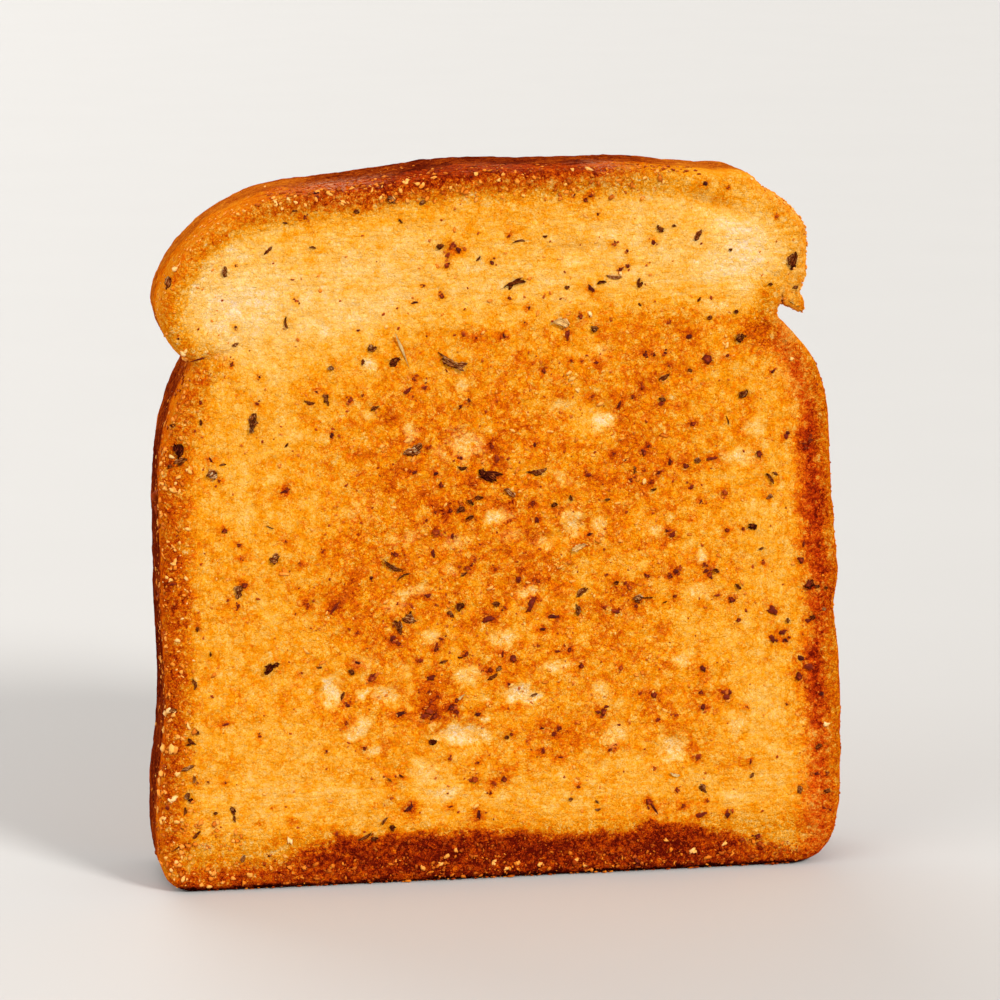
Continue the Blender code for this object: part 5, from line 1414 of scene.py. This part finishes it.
def specks_and_leaves(surface, draw):
    leaves = Pile("shade", "across")
    for row in LEAVES:
        add_herb(leaves, surface, row, draw)
    specks = Pile("shade")
    for x, z, size in DOTS:
        shape = (size * 1.1, size * draw.uniform(0.6, 0.95), draw.uniform(0, 180))
        add_speck(specks, surface, (x, z, *shape, draw.uniform(0.05, 0.45), draw.random() < 0.5), draw)
        for _ in range(draw.randint(1, 3)):
            angle, part = draw.uniform(0, 2 * math.pi), size * draw.uniform(0.25, 0.6)
            away = size * draw.uniform(0.4, 0.9)
            spot = (x + away * math.cos(angle), z + away * math.sin(angle))
            shape = (part * draw.uniform(1, 1.8), part, draw.uniform(0, 180))
            add_speck(specks, surface, (*spot, *shape, draw.uniform(0.15, 0.75), False), draw)
    for x, z, size in RINGS:
        add_speck(specks, surface, (x, z, size, size * 0.85, draw.uniform(0, 180), 0.15, True), draw)
    for row in LONG_SPECKS:
        add_speck(specks, surface, (*row, draw.uniform(0.0, 0.3), False), draw)
    for _ in range(FINE_SPECKS):
        x, z = draw.gauss(0, 26), draw.gauss(58, 27)
        if abs(x) > 54 or not 8 < z < 114:
            x, z = draw.uniform(-52, 52), draw.uniform(9, 112)
        size = draw.uniform(0.18, 0.5)
        shape = (size * draw.uniform(1, 1.8), size, draw.uniform(0, 180))
        add_speck(specks, surface, (x, z, *shape, draw.uniform(0.35, 0.85), False), draw)
    for _ in range(BACK_LEAVES):
        x, z, length = draw.uniform(*BACK_X), draw.uniform(*BACK_Z), draw.uniform(0.8, 2.6)
        row = (x, z, length, length * draw.uniform(0.25, 0.6), draw.uniform(0, 180), draw.uniform(0.1, 0.5))
        add_herb(leaves, surface, row, draw, 1)
    for _ in range(BACK_SPECKS):
        x, z, size = draw.uniform(*BACK_X), draw.uniform(*BACK_Z), draw.uniform(0.3, 1.1)
        row = (x, z, size, size * draw.uniform(0.5, 1), draw.uniform(0, 180), draw.uniform(0, 0.5), False)
        add_speck(specks, surface, row, draw, 1)
    leaves.piece("herb_flakes", leaf_material())
    specks.piece("brown_specks", grain_material("brown_specks", SPECK_COLOURS, 0.45, 0.6, 0.18, 0.4, 0.08))


def crumbs_and_straws(surface, draw):
    crumbs = Pile("shade")
    for x, z, length, width, shade in CRUMBS:
        for k, part in enumerate((0.75, 0.6, 0.45)):
            aside = 0.3 * length * (k > 0)
            place, normal = surface.at(x + draw.uniform(-aside, aside), z + draw.uniform(-aside, aside))
            tint = shade + draw.uniform(-0.1, 0.25) * (k > 0)
            flat = draw.uniform(0.3, 0.5)
            add_grain(crumbs, place, normal, length * part, width * part, tint, draw, 2, flat)
    for *place, length, width, shade in RIM_LUMPS:
        add_grain(crumbs, *surface.near(place), length, width, shade, draw, 2, 0.45)
    for count, x0, x1, z0, z1, *sizes_and_shades in CRUMB_BEDS:
        for _ in range(count):
            x, z = draw.uniform(x0, x1), draw.uniform(z0, z1)
            if sizes_and_shades[2] > DARK_CRUMB and z > table_at(x, BOTTOM_BAND)[0]:
                continue
            add_seeded_grain(crumbs, *surface.at(x, z), sizes_and_shades, draw)
    ring, _, _ = outline()
    for count, x0, x1, z0, z1, deep, *sizes_and_shades in RIM_BEDS:
        within = ring[(ring[:, 0] > x0) & (ring[:, 0] < x1) & (ring[:, 1] > z0) & (ring[:, 1] < z1)]
        for _ in range(count):
            x, z = within[draw.randrange(len(within))]
            spot = (x + draw.uniform(-0.3, 0.3), 0.8 + deep * draw.random() ** 1.5 - HALF, z)
            add_seeded_grain(crumbs, *surface.near(spot), sizes_and_shades, draw)
    for _ in range(FACE_GRAINS):
        x, z = draw.gauss(2, 22), draw.gauss(58, 24)
        if abs(x) > 50 or not 9 < z < 112:
            continue
        size = 0.3 + 0.5 * draw.random() ** 2
        length, shade = size * draw.uniform(1, 1.6), draw.uniform(0.25, 0.7)
        add_grain(crumbs, *surface.at(x, z), length, size, shade, draw, 1, 0.2)
    crumbs.piece("golden_crumbs", grain_material("golden_crumbs", CRUMB_COLOURS, 0.6, 0.4, 0.15, 0.6, 0.02))
    straws = Pile("shade", "across")
    for row in STRAWS:
        add_leaf(straws, surface, row, draw)
    straws.piece("pale_straws", straw_material())


# Floor, lights and camera


def add_floor():
    mesh = bmesh.new()
    bmesh.ops.create_circle(mesh, cap_ends=True, segments=96, radius=FLOOR_RADIUS)
    data = bpy.data.meshes.new("floor")
    mesh.to_mesh(data)
    mesh.free()
    nodes = Nodes("floor")
    light = (*FLOOR_COLOUR, 1.0)
    shaded = (*(FLOOR_SHADE * c for c in FLOOR_COLOUR), 1.0)
    colour = nodes.mixed(nodes.sum(nodes.noise(60.0, 3.0), 0.5), shaded, light)
    data.materials.append(nodes.finish(colour, 0.7))
    floor = bpy.data.objects.new("floor", data)
    bpy.context.scene.collection.objects.link(floor)


def aimed(name, data, back):
    """A light or camera that looks against the given direction."""
    thing = bpy.data.objects.new(name, data)
    thing.rotation_mode = "QUATERNION"
    thing.rotation_quaternion = (-back).to_track_quat("-Z", "Y")
    bpy.context.scene.collection.objects.link(thing)
    return thing


def add_lights():
    for name, (direction, strength, spread) in LIGHTS.items():
        data = bpy.data.lights.new(name, "SUN")
        data.energy = strength
        data.angle = math.radians(spread)
        data.color = LIGHT_COLOUR
        aimed(name, data, Vector(direction))
    world = bpy.data.worlds.new("studio")
    world.use_nodes = True
    background = world.node_tree.nodes["Background"]
    background.inputs["Color"].default_value = WORLD_COLOUR
    background.inputs["Strength"].default_value = WORLD_STRENGTH
    bpy.context.scene.world = world
    bpy.context.scene.view_settings.view_transform = "Standard"


def add_camera():
    data = bpy.data.cameras.new("camera")
    data.sensor_width = SENSOR_WIDTH
    data.lens = SENSOR_WIDTH * CAMERA_DISTANCE / CAMERA_VIEW_WIDTH
    data.clip_start = 0.01
    across, up = math.cos(CAMERA_ELEVATION), math.sin(CAMERA_ELEVATION)
    back = Vector((math.sin(CAMERA_AZIMUTH) * across, -math.cos(CAMERA_AZIMUTH) * across, up))
    camera = aimed("camera", data, back)
    camera.location = CAMERA_TARGET + back * CAMERA_DISTANCE
    bpy.context.scene.camera = camera


def main():
    draw = random.Random(SEED)
    points, faces, fields = toast_slice(draw)
    toast = new_piece("toast", points, faces, fields, toast_material())
    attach(toast, "root")
    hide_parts("toast_slice")
    surface = Surface(points, faces)
    specks_and_leaves(surface, draw)
    crumbs_and_straws(surface, draw)
    add_floor()
    add_lights()
    add_camera()


main()
